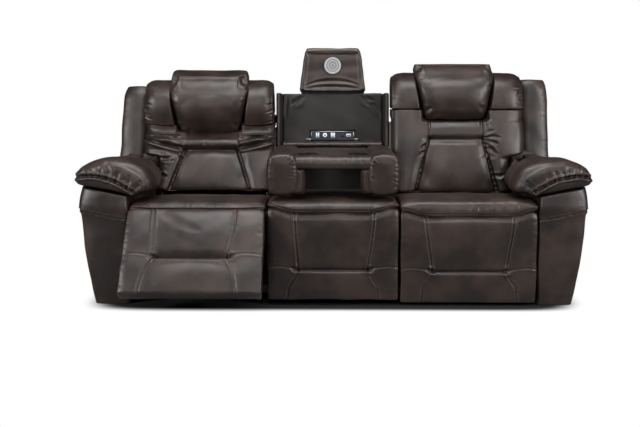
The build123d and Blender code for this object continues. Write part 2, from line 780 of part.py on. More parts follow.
SWITCH_BACK, SWITCH_HEIGHT = 205.0, 345.0
SWITCH_HALF_LONG, SWITCH_HALF_TALL = 52.0, 27.0
PLATE_FACE = 1112.0
ROCKER_AXIS = 1107.0
for side_name, hand in (("left", -1), ("right", 1)):
    with BuildPart() as arm_cover:
        loft([arm_section(*row, hand) for row in ARM_BODY])
        loft([arm_section(*row, hand) for row in ARM_COLLAR])
        block(hand * 906, hand * 1030, 40, 660, 20, 411, mode=Mode.SUBTRACT)
        for depth in (RAIL_FRONT, RAIL_REAR):
            block(
                hand * 890, hand * 910, depth - 20.5, depth + 20.5, 20, RAIL_HIGH + 0.5, mode=Mode.SUBTRACT
            )
        block(
            hand * 1094,
            hand * 1130,
            SWITCH_BACK - SWITCH_HALF_LONG - 0.3,
            SWITCH_BACK + SWITCH_HALF_LONG + 0.3,
            SWITCH_HEIGHT - SWITCH_HALF_TALL - 0.3,
            SWITCH_HEIGHT + SWITCH_HALF_TALL + 0.3,
            mode=Mode.SUBTRACT,
        )
        with BuildSketch(Plane.XZ.offset(-(FRONT + 700))):
            with BuildLine():
                Polyline(
                    (hand * 880, pad_underside(880) - 3),
                    (hand * 1130, pad_underside(1130) - 3),
                    (hand * 1130, 560),
                    (hand * 880, 560),
                    close=True,
                )
            make_face()
        extrude(amount=740, mode=Mode.SUBTRACT)
    keep(f"{side_name}_arm_cover", arm_cover.part)

    pad_stations = (
        # depth, outer trim, inner x, top trim, bottom trim
        (4, 26, 844, 36, 14),
        (20, 9, 806, 8, 5),
        (70, 0, 778, -6, 0),
        (300, 0, 770, 8, 0),
        (490, 2, 800, 26, 0),
        (538, 4, 898, 30, 0),
        (674, 8, 908, 42, 2),
        (690, 26, 926, 60, 8),
    )
    with BuildPart() as arm_pad:
        loft([arm_pad_section(*station, hand) for station in pad_stations], ruled=True)
    keep(f"{side_name}_arm_pad", arm_pad.part)

    # two rocker switches side by side: one for the seat, one for the headrest
    for rocker_name, depth in (("recline", SWITCH_BACK - 24), ("headrest", SWITCH_BACK + 24)):
        with BuildPart() as rocker:
            with BuildSketch(Plane.XY.offset(SWITCH_HEIGHT - 15)):
                with BuildLine():
                    Polyline(
                        (hand * (ROCKER_AXIS - 4), FRONT + depth - 13),
                        (hand * (ROCKER_AXIS + 9), FRONT + depth - 14),
                        (hand * (ROCKER_AXIS + 6), FRONT + depth),
                        (hand * (ROCKER_AXIS + 9), FRONT + depth + 14),
                        (hand * (ROCKER_AXIS - 4), FRONT + depth + 13),
                        close=True,
                    )
                make_face()
                with Locations((hand * ROCKER_AXIS, FRONT + depth)):
                    Circle(2.1, mode=Mode.SUBTRACT)
            extrude(amount=30)
        keep(f"{side_name}_{rocker_name}_switch", rocker.part)

with BuildPart() as switch_plates:
    for hand in (-1, 1):
        block(
            hand * 1094.4,
            hand * PLATE_FACE,
            SWITCH_BACK - SWITCH_HALF_LONG,
            SWITCH_BACK + SWITCH_HALF_LONG,
            SWITCH_HEIGHT - SWITCH_HALF_TALL,
            SWITCH_HEIGHT + SWITCH_HALF_TALL,
        )
        for depth in (SWITCH_BACK - 24, SWITCH_BACK + 24):
            block(
                hand * 1099,
                hand * 1130,
                depth - 16,
                depth + 16,
                SWITCH_HEIGHT - 16,
                SWITCH_HEIGHT + 16,
                mode=Mode.SUBTRACT,
            )
            with Locations((hand * ROCKER_AXIS, FRONT + depth, SWITCH_HEIGHT)):
                Cylinder(2, 33)
keep("switch_plates", switch_plates.part)

# ---------------------------------------------------------------- console, folded down
with BuildPart() as console:
    for hand in (-1, 1):
        loft(
            [
                cushion_section(depth, hand * x0, hand * x1, z0, z1, bulge)
                for depth, x0, x1, z0, z1, bulge in (
                    (CONSOLE_FRONT, 182, 268, 520, 640, 12),
                    (CONSOLE_FRONT + 10, 166, 284, 497, 662, 12),
                    (CONSOLE_FRONT + 40, 161, CONSOLE_HALF, 488, 668, 9),
                    (320, BOLSTER_INNER, CONSOLE_HALF, 488, 668, 7),
                    (CONSOLE_REAR - 14, BOLSTER_INNER, CONSOLE_HALF, 488, 666, 7),
                    (CONSOLE_REAR, 164, 286, 494, 656, 10),
                )
            ],
            ruled=True,
        )
        loft(
            [
                cushion_section(depth, hand * x0, hand * 176, z0, z1, bulge)
                for depth, x0, z0, z1, bulge in (
                    (36, 142, 520, 584, 9),
                    (46, 130, 496, 600, 9),
                    (96, 128, 492, 604, 8),
                    (112, 142, 506, 592, 9),
                )
            ],
            ruled=True,
        )
    # table: upholstered slab over the board, open underneath between the bolsters
    with BuildSketch(Plane.YZ.offset(-172)):
        with BuildLine():
            Polyline(yz(TABLE_REAR, TABLE_TOP), yz(60, TABLE_TOP))
            ThreePointArc(yz(60, TABLE_TOP), yz(43, 641), yz(36, 625))
            ThreePointArc(yz(36, 625), yz(38, 606), yz(50, 600))
            Polyline(
                yz(50, 600),
                yz(62, 600),
                yz(62, 627.5),
                yz(TABLE_REAR, 627.5),
                yz(TABLE_REAR, TABLE_TOP),
            )
        make_face()
    extrude(amount=344)
    for hand in (-1, 1):
        with Locations((hand * CUP_X, FRONT + CUP_BACK, 600)):
            Cylinder(CUP_RADIUS + 0.6, 120, mode=Mode.SUBTRACT)
    # room for the board between the bolsters
    block(-159, 159, 62.1, TABLE_REAR + 1, 600, 627.4, mode=Mode.SUBTRACT)
keep("console_cushion", console.part)

with BuildPart() as board:
    block(-158.5, 158.5, 63, TABLE_REAR, 612, 627)
    for hand in (-1, 1):
        with Locations((hand * CUP_X, FRONT + CUP_BACK, 600)):
            Cylinder(CUP_RADIUS + 0.6, 120, mode=Mode.SUBTRACT)
keep("console_board", board.part)

with BuildPart() as cups:
    for hand in (-1, 1):
        with Locations((hand * CUP_X, FRONT + CUP_BACK, TABLE_TOP - CUP_DEEP)):
            Cylinder(CUP_RADIUS, CUP_DEEP, align=(Align.CENTER, Align.CENTER, Align.MIN))
        with Locations((hand * CUP_X, FRONT + CUP_BACK, TABLE_TOP + 0.2)):
            Cylinder(46, 3, align=(Align.CENTER, Align.CENTER, Align.MIN))
        with Locations((hand * CUP_X, FRONT + CUP_BACK, TABLE_TOP - CUP_DEEP + 2)):
            Cylinder(
                39, CUP_DEEP + 4, align=(Align.CENTER, Align.CENTER, Align.MIN), mode=Mode.SUBTRACT
            )
keep("cup_holders", cups.part)

with BuildPart() as hinge_arms:
    for hand in (-1, 1):
        plate(
            ((562, 494), (588, 494), (612, 611.8), (552, 611.8)), hand * 154, hand * 158
        )
        disc(CONSOLE_PIVOT, 14, hand * 154, hand * 158)
        disc(CONSOLE_PIVOT, 6 + RUNNING_GAP, hand * 154, hand * 158, mode=Mode.SUBTRACT)
        block(hand * 130, hand * 158, 552, 612, 608.8, 611.8)
keep("console_hinge_arms", hinge_arms.part)


# ---------------------------------------------------------------- surround, strip, flap and lamp
def leaned(part):
    """The part leaned back with the surround."""
    return turned(part, LEAN_PIVOT, LEAN)


with BuildPart() as pad:
    block(-262, 262, PANEL, 845, PANEL_LOW, PANEL_TOP)
    block(-290, 290, 845, 868, 905, PANEL_TOP)
    for hand in (-1, 1):
        with BuildSketch(Plane.XY.offset(PANEL_LOW)):
            with BuildLine():
                a, b = (hand * 262, FRONT + 772), (hand * 290, FRONT + 780)
                ThreePointArc(a, (hand * 278, FRONT + 766), b)
                Polyline(b, (hand * 290, FRONT + 868), (hand * 262, FRONT + 868), a)
            make_face()
        extrude(amount=PANEL_TOP - PANEL_LOW)
    with BuildSketch(Plane.YZ.offset(-261.5)):
        with BuildLine():
            ThreePointArc(yz(812, PANEL_LOW + 1), yz(769, PANEL_LOW + 18), yz(812, PANEL_LOW + 37))
            Line(yz(812, PANEL_LOW + 37), yz(PANEL + 4, PANEL_LOW + 37))
            Line(yz(PANEL + 4, PANEL_LOW + 37), yz(PANEL + 4, PANEL_LOW + 1))
            Line(yz(PANEL + 4, PANEL_LOW + 1), yz(812, PANEL_LOW + 1))
        make_face()
    extrude(amount=523)
    block(-113, 113, 800, 836, 676, 722, mode=Mode.SUBTRACT)
keep("surround_cover", leaned(pad.part))

with BuildPart() as posts:
    for hand in (-1, 1):
        block(hand * 222, hand * 258, 846, 867, 110, 904)
    block(-221.8, 221.8, 846, 858, 640, 900)
    block(-221.8, 221.8, 846, 867, 150, 200)
leaned_posts = leaned(posts.part)
with BuildPart() as runners:
    for hand in (-1, 1):
        block(hand * 222, hand * 258, 566, 806, 59.2, 100)
        block(hand * 222, hand * 258, 557, 818, 362, 403)
        block(hand * 222, hand * 258, 566, 604, 100.1, 361.9)
pieces = leaned_posts.solids() + runners.part.solids()
keep("surround_frame", Compound(children=list(pieces)))

with BuildPart() as rear_panel:
    block(-290, 290, 869, 875, 45, PANEL_TOP)
with BuildPart() as deck:
    block(-286, 286, 616, 800, 403.4, 415)
with BuildPart() as skirt:
    for hand in (-1, 1):
        block(hand * 301, hand * 892, 694, 710, 40, 280)
        block(hand * 340, hand * 860, 605.2, 693.9, 40, 56)
pieces = leaned(rear_panel.part).solids() + deck.part.solids() + skirt.part.solids()
keep("rear_panels", Compound(children=list(pieces)))

with BuildPart() as strip:
    block(-112.5, 112.5, 814, 835, 676.4, 721.4)
    block(-141.5, 141.5, 813.6, 819.6, 676, 682)
    for x0, x1, z0, z1 in (
        (-92, -66, 686, 716),
        (-14, 18, 686, 716),
        (44, 60, 686, 716),
        (68, 100, 692, 710),
    ):
        block(x0, x1, 810, 818, z0, z1, mode=Mode.SUBTRACT)
    with BuildSketch(Plane.XZ.offset(-(FRONT + 818))):
        with Locations((-40, 701)):
            Circle(14)
    extrude(amount=10, mode=Mode.SUBTRACT)
keep("outlet_strip", leaned(strip.part))

with BuildPart() as flap:
    for depth, shrink in ((806, 8), (811, 0), (841, 0), (846, 8)):
        with BuildSketch(Plane.XZ.offset(-(FRONT + depth))):
            with BuildLine():
                bottom, top = 171 - shrink, 128 - shrink
                low, high = FLAP_HINGE[1] + shrink, 1162 - shrink
                a, b = (-bottom, low), (bottom, low)
                c, d = (top, high - 10), (-top, high - 10)
                Line(a, b)
                ThreePointArc(b, ((bottom + top) / 2 + 5, (low + high) / 2), c)
                ThreePointArc(c, (0, high), d)
                ThreePointArc(d, (-(bottom + top) / 2 - 5, (low + high) / 2), a)
            make_face()
    loft(ruled=True)
    disc(FLAP_HINGE, 8, -95, 95)
    block(-95, 95, 809, 830, FLAP_HINGE[1] - 2, FLAP_HINGE[1] + 12)
    for hand in (-1, 1):
        disc(FLAP_HINGE, 11.5, hand * 95.6, hand * 104.4, mode=Mode.SUBTRACT)
    disc(FLAP_HINGE, 4.08, -110, 110, mode=Mode.SUBTRACT)
    with BuildSketch(Plane.XZ.offset(-(FRONT + 826))):
        with Locations((0, LAMP_HEIGHT)):
            Circle(LAMP_RADIUS - 2.2)
    extrude(amount=40, mode=Mode.SUBTRACT)
keep("lamp_flap", leaned(flap.part))

with BuildPart() as flap_hinge:
    disc(FLAP_HINGE, 4, -103, 103)
    for hand in (-1, 1):
        disc(FLAP_HINGE, 7, hand * 97, hand * 103)
        block(hand * 97, hand * 103, 809, 852, 923.6, 930.4)
        block(hand * 88, hand * 112, 824, 852, 921.3, 923.6)
with BuildPart() as hinge_posts:
    for hand in (-1, 1):
        plate(((557, 360), (594, 360), (589, 500), (561, 500)), hand * 148.5, hand * 152.5)
        disc(CONSOLE_PIVOT, 14, hand * 148.5, hand * 152.5)
        disc(CONSOLE_PIVOT, 6, hand * 148.5, hand * 159.4)
        block(hand * 120, hand * 152.5, 556.2, 560, 360, 404)
pieces = leaned(flap_hinge.part).solids() + hinge_posts.part.solids()
keep("fixed_hinges", Compound(children=list(pieces)))

with BuildPart() as bezel:
    with BuildSketch(Plane.XZ.offset(-(FRONT + 825.6))):
        with Locations((0, LAMP_HEIGHT)):
            Circle(LAMP_RADIUS - 2.6)
    extrude(amount=19.8)
    with BuildSketch(Plane.XZ.offset(-(FRONT + 805.8))):
        with Locations((0, LAMP_HEIGHT)):
            Circle(LAMP_RADIUS)
    extrude(amount=3.4)
    with BuildSketch(Plane.XZ.offset(-(FRONT + 818))):
        with Locations((0, LAMP_HEIGHT)):
            Circle(34)
    extrude(amount=30, mode=Mode.SUBTRACT)
keep("lamp_bezel", leaned(bezel.part))

with BuildPart() as lens:
    with BuildSketch(Plane.XZ.offset(-(FRONT + 814.5))):
        with Locations((0, LAMP_HEIGHT)):
            Circle(33.7)
    extrude(amount=10)
keep("lamp_lens", leaned(lens.part))

for name, part in made:
    box = part.bounding_box()
    print(f"{name:26s} {box.min.X:8.0f}{box.max.X:8.0f}{box.min.Y:8.0f}{box.max.Y:8.0f}{box.min.Z:8.0f}{box.max.Z:8.0f}")
print(len(made), "pieces")
print("depth", min(p.bounding_box().min.Y for _, p in made), max(p.bounding_box().max.Y for _, p in made))
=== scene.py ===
"""Three-seat power reclining sofa with a drop-down console: its upholstery, hardware and studio.

Shapes are worked out in millimetres as (x, depth, height), where depth runs back from the face of
the closed footrests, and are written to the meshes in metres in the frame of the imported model.
"""

from __future__ import annotations

import json
import logging
import math
from dataclasses import dataclass
from enum import Enum
from typing import Callable, Iterable, Sequence

import bpy
import numpy as np
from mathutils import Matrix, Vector
from mathutils.bvhtree import BVHTree

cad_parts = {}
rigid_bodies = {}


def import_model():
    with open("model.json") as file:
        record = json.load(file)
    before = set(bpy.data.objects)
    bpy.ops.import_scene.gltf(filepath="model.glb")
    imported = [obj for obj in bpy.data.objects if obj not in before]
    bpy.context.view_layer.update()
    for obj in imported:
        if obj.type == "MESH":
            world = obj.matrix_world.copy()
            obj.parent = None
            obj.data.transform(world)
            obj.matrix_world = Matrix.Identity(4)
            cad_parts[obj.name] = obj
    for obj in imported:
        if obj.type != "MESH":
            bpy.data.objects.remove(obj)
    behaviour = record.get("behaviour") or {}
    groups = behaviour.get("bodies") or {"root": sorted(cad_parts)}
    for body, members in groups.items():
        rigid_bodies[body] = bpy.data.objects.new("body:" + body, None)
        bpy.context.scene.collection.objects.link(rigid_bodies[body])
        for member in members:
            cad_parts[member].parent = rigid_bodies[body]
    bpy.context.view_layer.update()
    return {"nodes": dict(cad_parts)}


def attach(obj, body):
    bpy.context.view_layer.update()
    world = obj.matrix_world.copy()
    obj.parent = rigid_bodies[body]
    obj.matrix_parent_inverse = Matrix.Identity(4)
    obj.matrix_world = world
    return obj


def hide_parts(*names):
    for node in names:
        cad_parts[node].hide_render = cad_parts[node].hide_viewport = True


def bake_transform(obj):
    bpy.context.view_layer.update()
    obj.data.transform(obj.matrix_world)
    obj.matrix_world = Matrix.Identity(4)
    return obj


LOG = logging.getLogger("sofa")

# shared places and lengths in millimetres, with pivots as (depth, height), and angles in degrees
FRONT = -382.5
BACK_PIVOT = (600.0, 400.0)
HEAD_PIVOT = (781.0, 800.0)
SWING_PIVOT = (300.0, 335.0)
LEAN_PIVOT, LEAN = (810.0, 690.0), 5.0
SURROUND_HEIGHTS = (638, 720, 800, 880, 921)
BACK_MIDDLE, BACK_INNER, BACK_FOOT = 620.0, 299, 440
HEAD_FOOT, FOLD_RISE, FOLD_TOP = 846, 46, 837.5
SWING_LENGTH, SWING_CLOSED = 234, -110
MID_LENGTH, MID_ANGLE = 288.7, 17.73
ARM_SHELF_INNER, ARM_SHELF_OUTER = (880, 482), (1086, 520)  # (x, height)
CUP_PLACE = (114, 235, 630)  # (x, depth, height)

# numbers that several functions share, or that need a name
MM_PER_METRE = 1000
RAY_START = 3000
TRACE_SPACING = 4.0
STITCH_PITCH, HALF_STITCH, THREAD_RADIUS = 7.0, 2.3, 0.75
PIPING_PITCH = 5.0
GATHER_SPOTS = 200
FACING_SHARES = (0.05, 0.45)
END_SCALES, ROUND_STEPS = (0.72, 0.4), 1.6
WAVES, SIZE_SPREAD = 14, (0.6, 1.8)
CUP_HOLE = 0.0416
SOFT_LEVEL = 0.06
FLOOR_HALF = 30
# the painted shadow on the floor: the middle of its depth, its half sizes and how square its
# corners are
SHADOW_CENTRE, SHADOW_HALF, SHADOW_SQUARENESS = 0.08, (0.98, 0.5), 12

Path = Sequence[tuple[float, float]]
Field = Callable[[np.ndarray, np.ndarray], np.ndarray]
Pose = Callable[[np.ndarray], np.ndarray]


# ---------------------------------------------------------------- plain geometry
def smooth(low: float, high: float, value: np.ndarray | float) -> np.ndarray | float:
    """A smooth step from 0 at low to 1 at high.

    Args:
        low: Where the step starts.
        high: Where it ends, which may be below low.
        value: The numbers to step.

    Returns:
        Numbers from 0 to 1.
    """
    t = np.clip((value - low) / (high - low), 0.0, 1.0)
    return t * t * (3 - 2 * t)


def turned(points: np.ndarray, pivot: tuple[float, float], angle: float) -> np.ndarray:
    """Points turned about a line along x: a positive angle takes the front up.

    Args:
        points: Points as (x, depth, height).
        pivot: The line's depth and height.
        angle: Degrees.

    Returns:
        The turned points.
    """
    c, s = math.cos(math.radians(angle)), math.sin(math.radians(angle))
    out = np.array(points, float)
    d, z = out[..., 1] - pivot[0], out[..., 2] - pivot[1]
    out[..., 1] = pivot[0] + d * c + z * s
    out[..., 2] = pivot[1] + z * c - d * s
    return out


def reach(point: tuple[float, float], length: float, angle: float) -> tuple[float, float]:
    """The point at a length from another, at an angle from straight ahead towards up."""
    a = math.radians(angle)
    return point[0] - length * math.cos(a), point[1] + length * math.sin(a)


def spline(points: Path, per_span: int, closed: bool = False) -> np.ndarray:
    """A smooth line through points.

    Args:
        points: The points, in two or three dimensions.
        per_span: How many pieces each span gets.
        closed: Whether the line runs back to its first point.

    Returns:
        The line's points.
    """
    p = np.array(points, float)
    if closed:
        knots = np.concatenate([p[-1:], p, p[:2]])
    else:
        knots = np.concatenate([[p[0] * 2 - p[1]], p, [p[-1] * 2 - p[-2]]])
    out = []
    t = np.linspace(0, 1, per_span, endpoint=False)[:, None]
    for a, b, c, d in zip(knots, knots[1:], knots[2:], knots[3:]):
        out.append(
            b
            + 0.5 * t * (c - a)
            + t * t * (a - 2.5 * b + 2 * c - 0.5 * d)
            + t * t * t * (1.5 * (b - c) + 0.5 * (d - a))
        )
    if not closed:
        out.append(p[-1:])
    return np.concatenate(out)


def evenly(line: np.ndarray, count: int, closed: bool = False) -> np.ndarray:
    """A line divided into equal lengths.

    Args:
        line: Its points.
        count: How many points are wanted.
        closed: Whether it runs back to its first point.

    Returns:
        The new points.
    """
    p = np.concatenate([line, line[:1]]) if closed else line
    run = np.concatenate([[0], np.cumsum(np.linalg.norm(np.diff(p, axis=0), axis=1))])
    at = np.linspace(0, run[-1], count + 1 if closed else count)
    out = np.stack([np.interp(at, run, p[:, k]) for k in range(p.shape[1])], 1)
    return out[:-1] if closed else out


def rows_between(at: np.ndarray, values: np.ndarray, wanted: np.ndarray) -> np.ndarray:
    """Smoothly interpolates arrays given at stations.

    Args:
        at: The stations, rising, three or more.
        values: One array for each.
        wanted: Where new arrays are wanted.

    Returns:
        The arrays there.
    """
    slopes = np.gradient(values, at, axis=0)
    out = []
    for w in np.clip(wanted, at[0], at[-1]):
        k = int(np.clip(np.searchsorted(at, w) - 1, 0, len(at) - 2))
        h = at[k + 1] - at[k]
        t = (w - at[k]) / h
        out.append(
            (2 * t**3 - 3 * t**2 + 1) * values[k]
            + (t**3 - 2 * t**2 + t) * h * slopes[k]
            + (3 * t**2 - 2 * t**3) * values[k + 1]
            + (t**3 - t**2) * h * slopes[k + 1]
        )
    return np.array(out)


def drawn_in(section: np.ndarray, amount: float) -> np.ndarray:
    """A closed section with its outline moved inwards."""
    tangent = np.roll(section, -1, 0) - np.roll(section, 1, 0)
    normal = np.stack([tangent[:, 1], -tangent[:, 0]], 1)
    normal /= np.linalg.norm(normal, axis=1)[:, None] + 1e-9
    area = 0.5 * np.sum(
        section[:, 0] * np.roll(section[:, 1], -1) - np.roll(section[:, 0], -1) * section[:, 1]
    )
    return section - normal * (amount if area > 0 else -amount)


class Axis(Enum):
    """The direction that a shell's sections are stacked along, and the order of their numbers."""

    X = (1, 2, 0)
    DEPTH = (0, 2, 1)
    HEIGHT = (0, 1, 2)


class Side(Enum):
    """A side that a feature is drawn on: its two coordinates and the way that it faces."""

    FRONT = (0, 2, (0, -1, 0))
    REAR = (0, 2, (0, 1, 0))
    TOP = (0, 1, (0, 0, 1))

    def flat(self, points: np.ndarray) -> np.ndarray:
        """The two coordinates of points on this side."""
        return points[:, [self.value[0], self.value[1]]]

    def facing(self, normals: np.ndarray) -> np.ndarray:
        """How far surfaces face this way, from 0 to 1."""
        return smooth(*FACING_SHARES, normals @ np.array(self.value[2], float))


def placed(name: str, data: bpy.types.ID) -> bpy.types.Object:
    """Puts a mesh, a light or a camera in the scene."""
    obj = bpy.data.objects.new(name, data)
    bpy.context.scene.collection.objects.link(obj)
    return obj


def applied(obj: bpy.types.Object) -> bpy.types.Mesh:
    """A new mesh of an object with its modifiers applied."""
    graph = bpy.context.evaluated_depsgraph_get()
    return bpy.data.meshes.new_from_object(obj.evaluated_get(graph))


def station(at: float, ring: Path, hand: int = 1) -> tuple[float, np.ndarray]:
    """A place and the section there, mirrored where the hand is -1."""
    return float(at), np.array([(hand * x, y) for x, y in ring])


@dataclass
class Shell:
    """A closed surface in millimetres, before its pose."""

    points: np.ndarray
    quads: np.ndarray
    tris: np.ndarray

    @staticmethod
    def stacked(
        axis: Axis,
        stations: Sequence[tuple[float, np.ndarray]],
        spacing: float,
        rounds: tuple[float, float],
        domes: tuple[float, float] = (0.0, 0.0),
    ) -> "Shell":
        """Builds a shell from closed sections along an axis.

        Args:
            axis: The direction of the stack.
            stations: Each section's place and its outline, all with the same number of points.
            spacing: The distance between rings, and between the points of a ring.
            rounds: The radius at the first and the last end.
            domes: How far the first and the last end bulge.

        Returns:
            The shell.
        """
        at = np.array([s[0] for s in stations])
        curves = [spline(s[1], 6, closed=True) for s in stations]
        girth = max(
            np.linalg.norm(np.diff(np.concatenate([c, c[:1]]), axis=0), axis=1).sum()
            for c in curves
        )
        around = int(girth / spacing)
        sections = np.array([evenly(c, around, closed=True) for c in curves])
        first, last = at[0] + rounds[0], at[-1] - rounds[1]
        middle = np.linspace(first, last, max(3, int((last - first) / spacing) + 1))
        body = rows_between(at, sections, middle)
        rings = list(zip(middle, body))
        poles = []
        for end, radius, sign in ((0, rounds[0], -1), (1, rounds[1], 1)):
            place, outline = rings[-end]
            extra = []
            steps = max(2, int(radius * ROUND_STEPS / spacing))
            for k in range(1, steps + 1):
                a = math.pi / 2 * k / steps
                shrunk = drawn_in(outline, radius * (1 - math.cos(a)))
                extra.append((place + sign * radius * math.sin(a), shrunk))
            place, outline = extra[-1]
            centre = outline.mean(0)
            dome = sign * domes[end]
            room = np.linalg.norm(outline - centre, axis=1).max() / spacing / 2
            scales = np.linspace(1, 0, int(room) + 2)[1:-1] if dome else END_SCALES
            for scale in scales:
                bulge = place + dome * (1 - scale**4)
                extra.append((bulge, centre + (outline - centre) * scale))
            poles.append((*centre, place + dome))
            rings = extra[::-1] + rings if end == 0 else rings + extra
        n, m = len(rings), around
        flat = np.zeros((n, m, 3))
        for k, (w, ring) in enumerate(rings):
            flat[k, :, axis.value[0]] = ring[:, 0]
            flat[k, :, axis.value[1]] = ring[:, 1]
            flat[k, :, axis.value[2]] = w
        points = flat.reshape(-1, 3)
        order = np.argsort(axis.value)
        poles = np.array(poles)[:, order]
        ids = np.arange(n * m).reshape(n, m)
        nxt = np.roll(ids, -1, 1)
        quads = np.stack([ids[:-1], nxt[:-1], nxt[1:], ids[1:]], -1).reshape(-1, 4)
        low = np.stack([np.full(m, n * m), nxt[0], ids[0]], 1)
        high = np.stack([np.full(m, n * m + 1), ids[-1], nxt[-1]], 1)
        shell = Shell(np.concatenate([points, poles]), quads, np.concatenate([low, high]))
        if shell.volume() < 0:
            shell.quads, shell.tris = shell.quads[:, ::-1], shell.tris[:, ::-1]
        return shell

    def volume(self) -> float:
        """The space inside the shell, negative where its faces point inwards."""
        halves = [self.quads[:, [0, 1, 2]], self.quads[:, [0, 2, 3]], self.tris]
        a, b, c = (self.points[corner] for corner in np.concatenate(halves).T)
        return float(np.einsum("ij,ij->i", a, np.cross(b, c)).sum() / 6)

    def normals(self) -> np.ndarray:
        """The direction that the surface of a refined shell faces at each point."""
        p, out = self.points, np.zeros_like(self.points)
        a, b, c, d = (p[corner] for corner in self.quads.T)
        n = np.cross(c - a, d - b)
        for corner in self.quads.T:
            for k in range(3):
                out[:, k] += np.bincount(corner, n[:, k], len(p))
        return out / (np.linalg.norm(out, axis=1)[:, None] + 1e-9)

    def raw_mesh(self, name: str) -> bpy.types.Mesh:
        """A mesh of the shell's own numbers."""
        mesh = bpy.data.meshes.new(name)
        mesh.vertices.add(len(self.points))
        mesh.vertices.foreach_set("co", self.points.astype(np.float32).ravel())
        sizes = [4] * len(self.quads) + [3] * len(self.tris)
        mesh.loops.add(sum(sizes))
        corners = np.concatenate([self.quads.ravel(), self.tris.ravel()]).astype(np.int32)
        mesh.loops.foreach_set("vertex_index", corners)
        mesh.polygons.add(len(sizes))
        starts = np.concatenate([[0], np.cumsum(sizes)[:-1]]).astype(np.int32)
        mesh.polygons.foreach_set("loop_start", starts)
        mesh.update(calc_edges=True)
        return mesh

    def refined(self) -> "Shell":
        """The shell with its faces divided into smaller quads and smoothed."""
        obj = placed("refine", self.raw_mesh("refine"))
        modifier = obj.modifiers.new("refine", "SUBSURF")
        modifier.levels = modifier.render_levels = 1
        modifier.use_limit_surface = False
        done = applied(obj)
        points = np.zeros(len(done.vertices) * 3)
        done.vertices.foreach_get("co", points)
        quads = np.zeros(len(done.loops), int)
        done.loops.foreach_get("vertex_index", quads)
        bpy.data.objects.remove(obj)
        bpy.data.meshes.remove(done)
        return Shell(points.reshape(-1, 3), quads.reshape(-1, 4), np.zeros((0, 3), int))

    def push(self, *fields: Field) -> None:
        """Moves every point along its normal.

        Args:
            fields: Functions of the points and normals that give distances outwards.
        """
        normals = self.normals()
        total = np.zeros(len(self.points))
        for each in fields:
            total += each(self.points, normals)
        self.points = self.points + normals * total[:, None]

    def traced(self, path: np.ndarray, proud: float) -> np.ndarray:
        """Lays a flat path on a refined shell's front.

        Args:
            path: The path's points, as (x, height).
            proud: How far the line stands out of the surface.

        Returns:
            The line's points.
        """
        length = np.linalg.norm(np.diff(path, axis=0), axis=1).sum()
        line = evenly(path, max(3, int(length / TRACE_SPACING)))
        tree = BVHTree.FromPolygons(self.points.tolist(), self.quads.tolist())
        ahead = Vector((0.0, -1.0, 0.0))
        out = []
        for x, z in line:
            hit, normal, _, _ = tree.ray_cast(Vector((x, -RAY_START, z)), -ahead)
            if hit is not None:
                out.append(tuple(hit + (normal if normal.dot(ahead) > 0 else -normal) * proud))
        return np.array(out)


def at_rest(points: np.ndarray) -> np.ndarray:
    """The pose of a piece that stands as it was drawn."""
    return points


def leaned(points: np.ndarray) -> np.ndarray:
    """The pose of the surround, leaned back."""
    return turned(points, LEAN_PIVOT, LEAN)


def to_row(points: np.ndarray) -> np.ndarray:
    """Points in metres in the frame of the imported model."""
    return (points + np.array([0.0, FRONT, 0.0])) / MM_PER_METRE


# ---------------------------------------------------------------- features of upholstery
def drawn(path: Path, per_span: int) -> np.ndarray:
    """A path's points, smooth where it has more than two."""
    return spline(path, per_span) if len(path) > 2 else np.array(path, float)


def beside(path: Path, dx: float, dz: float) -> np.ndarray:
    """A smooth line beside a path of (x, height)."""
    return spline([(x + dx, z + dz) for x, z in path], 8)


def fold(gap: np.ndarray, width: np.ndarray, swell: float) -> np.ndarray:
    """The section of a fold of height 1: a valley with a swelling beside it."""
    q = gap / width
    return -np.exp(-(q**2)) + swell * np.exp(-((q - 1.9) ** 2))


def from_path(flat: np.ndarray, path: np.ndarray) -> tuple[np.ndarray, np.ndarray]:
    """Distances of points from a path.

    Args:
        flat: Points in two coordinates.
        path: The path's points.

    Returns:
        The distance of each point, and the share of the path where it is nearest.
    """
    best = np.full(len(flat), 1e9)
    share = np.zeros(len(flat))
    steps = np.linalg.norm(np.diff(path, axis=0), axis=1)
    run = np.concatenate([[0], np.cumsum(steps)])
    for k in range(len(path) - 1):
        v = path[k + 1] - path[k]
        t = np.clip(((flat - path[k]) @ v) / (v @ v + 1e-12), 0, 1)
        gap = np.linalg.norm(flat - path[k] - t[:, None] * v, axis=1)
        nearer = gap < best
        best[nearer] = gap[nearer]
        share[nearer] = (run[k] + t[nearer] * steps[k]) / run[-1]
    return best, share


@dataclass
class Groove:
    """A sewn valley along a path, with the leather swelling on both sides.

    Attributes:
        path: Its points.
        width: The valley's half width.
        depth: How deep it is.
        swell: The height of the swelling, as a share of the depth.
        fade: Shares of its length over which it starts and ends.
        side: The side it is drawn on.
    """

    path: Path
    width: float
    depth: float
    swell: float
    fade: tuple[float, float] = (0.0, 0.0)
    side: Side = Side.FRONT

    def __call__(self, points: np.ndarray, normals: np.ndarray) -> np.ndarray:
        """The distances outwards at points with normals."""
        gap, share = from_path(self.side.flat(points), drawn(self.path, 6))
        q = gap / self.width
        shape = -np.exp(-(q**2)) + self.swell * np.exp(-((q - 2.3) ** 2) / 1.2)
        ends = np.ones_like(share)
        if self.fade[0]:
            ends *= smooth(0, self.fade[0], share)
        if self.fade[1]:
            ends *= smooth(1, 1 - self.fade[1], share)
        return shape * self.depth * self.side.facing(normals) * ends


# how far single gathers differ: place, length, slant, bend, width and depth
PLACE_SPREAD = 0.36
LENGTH_SPREAD = (0.35, 1.25)
SLANT_SPREAD, BEND_SPREAD = 0.22, 0.12
WIDTH_SPREAD = (0.7, 1.35)
DEPTH_SPREAD = (0.45, 1.2)
GATHER_SWELL = 0.42


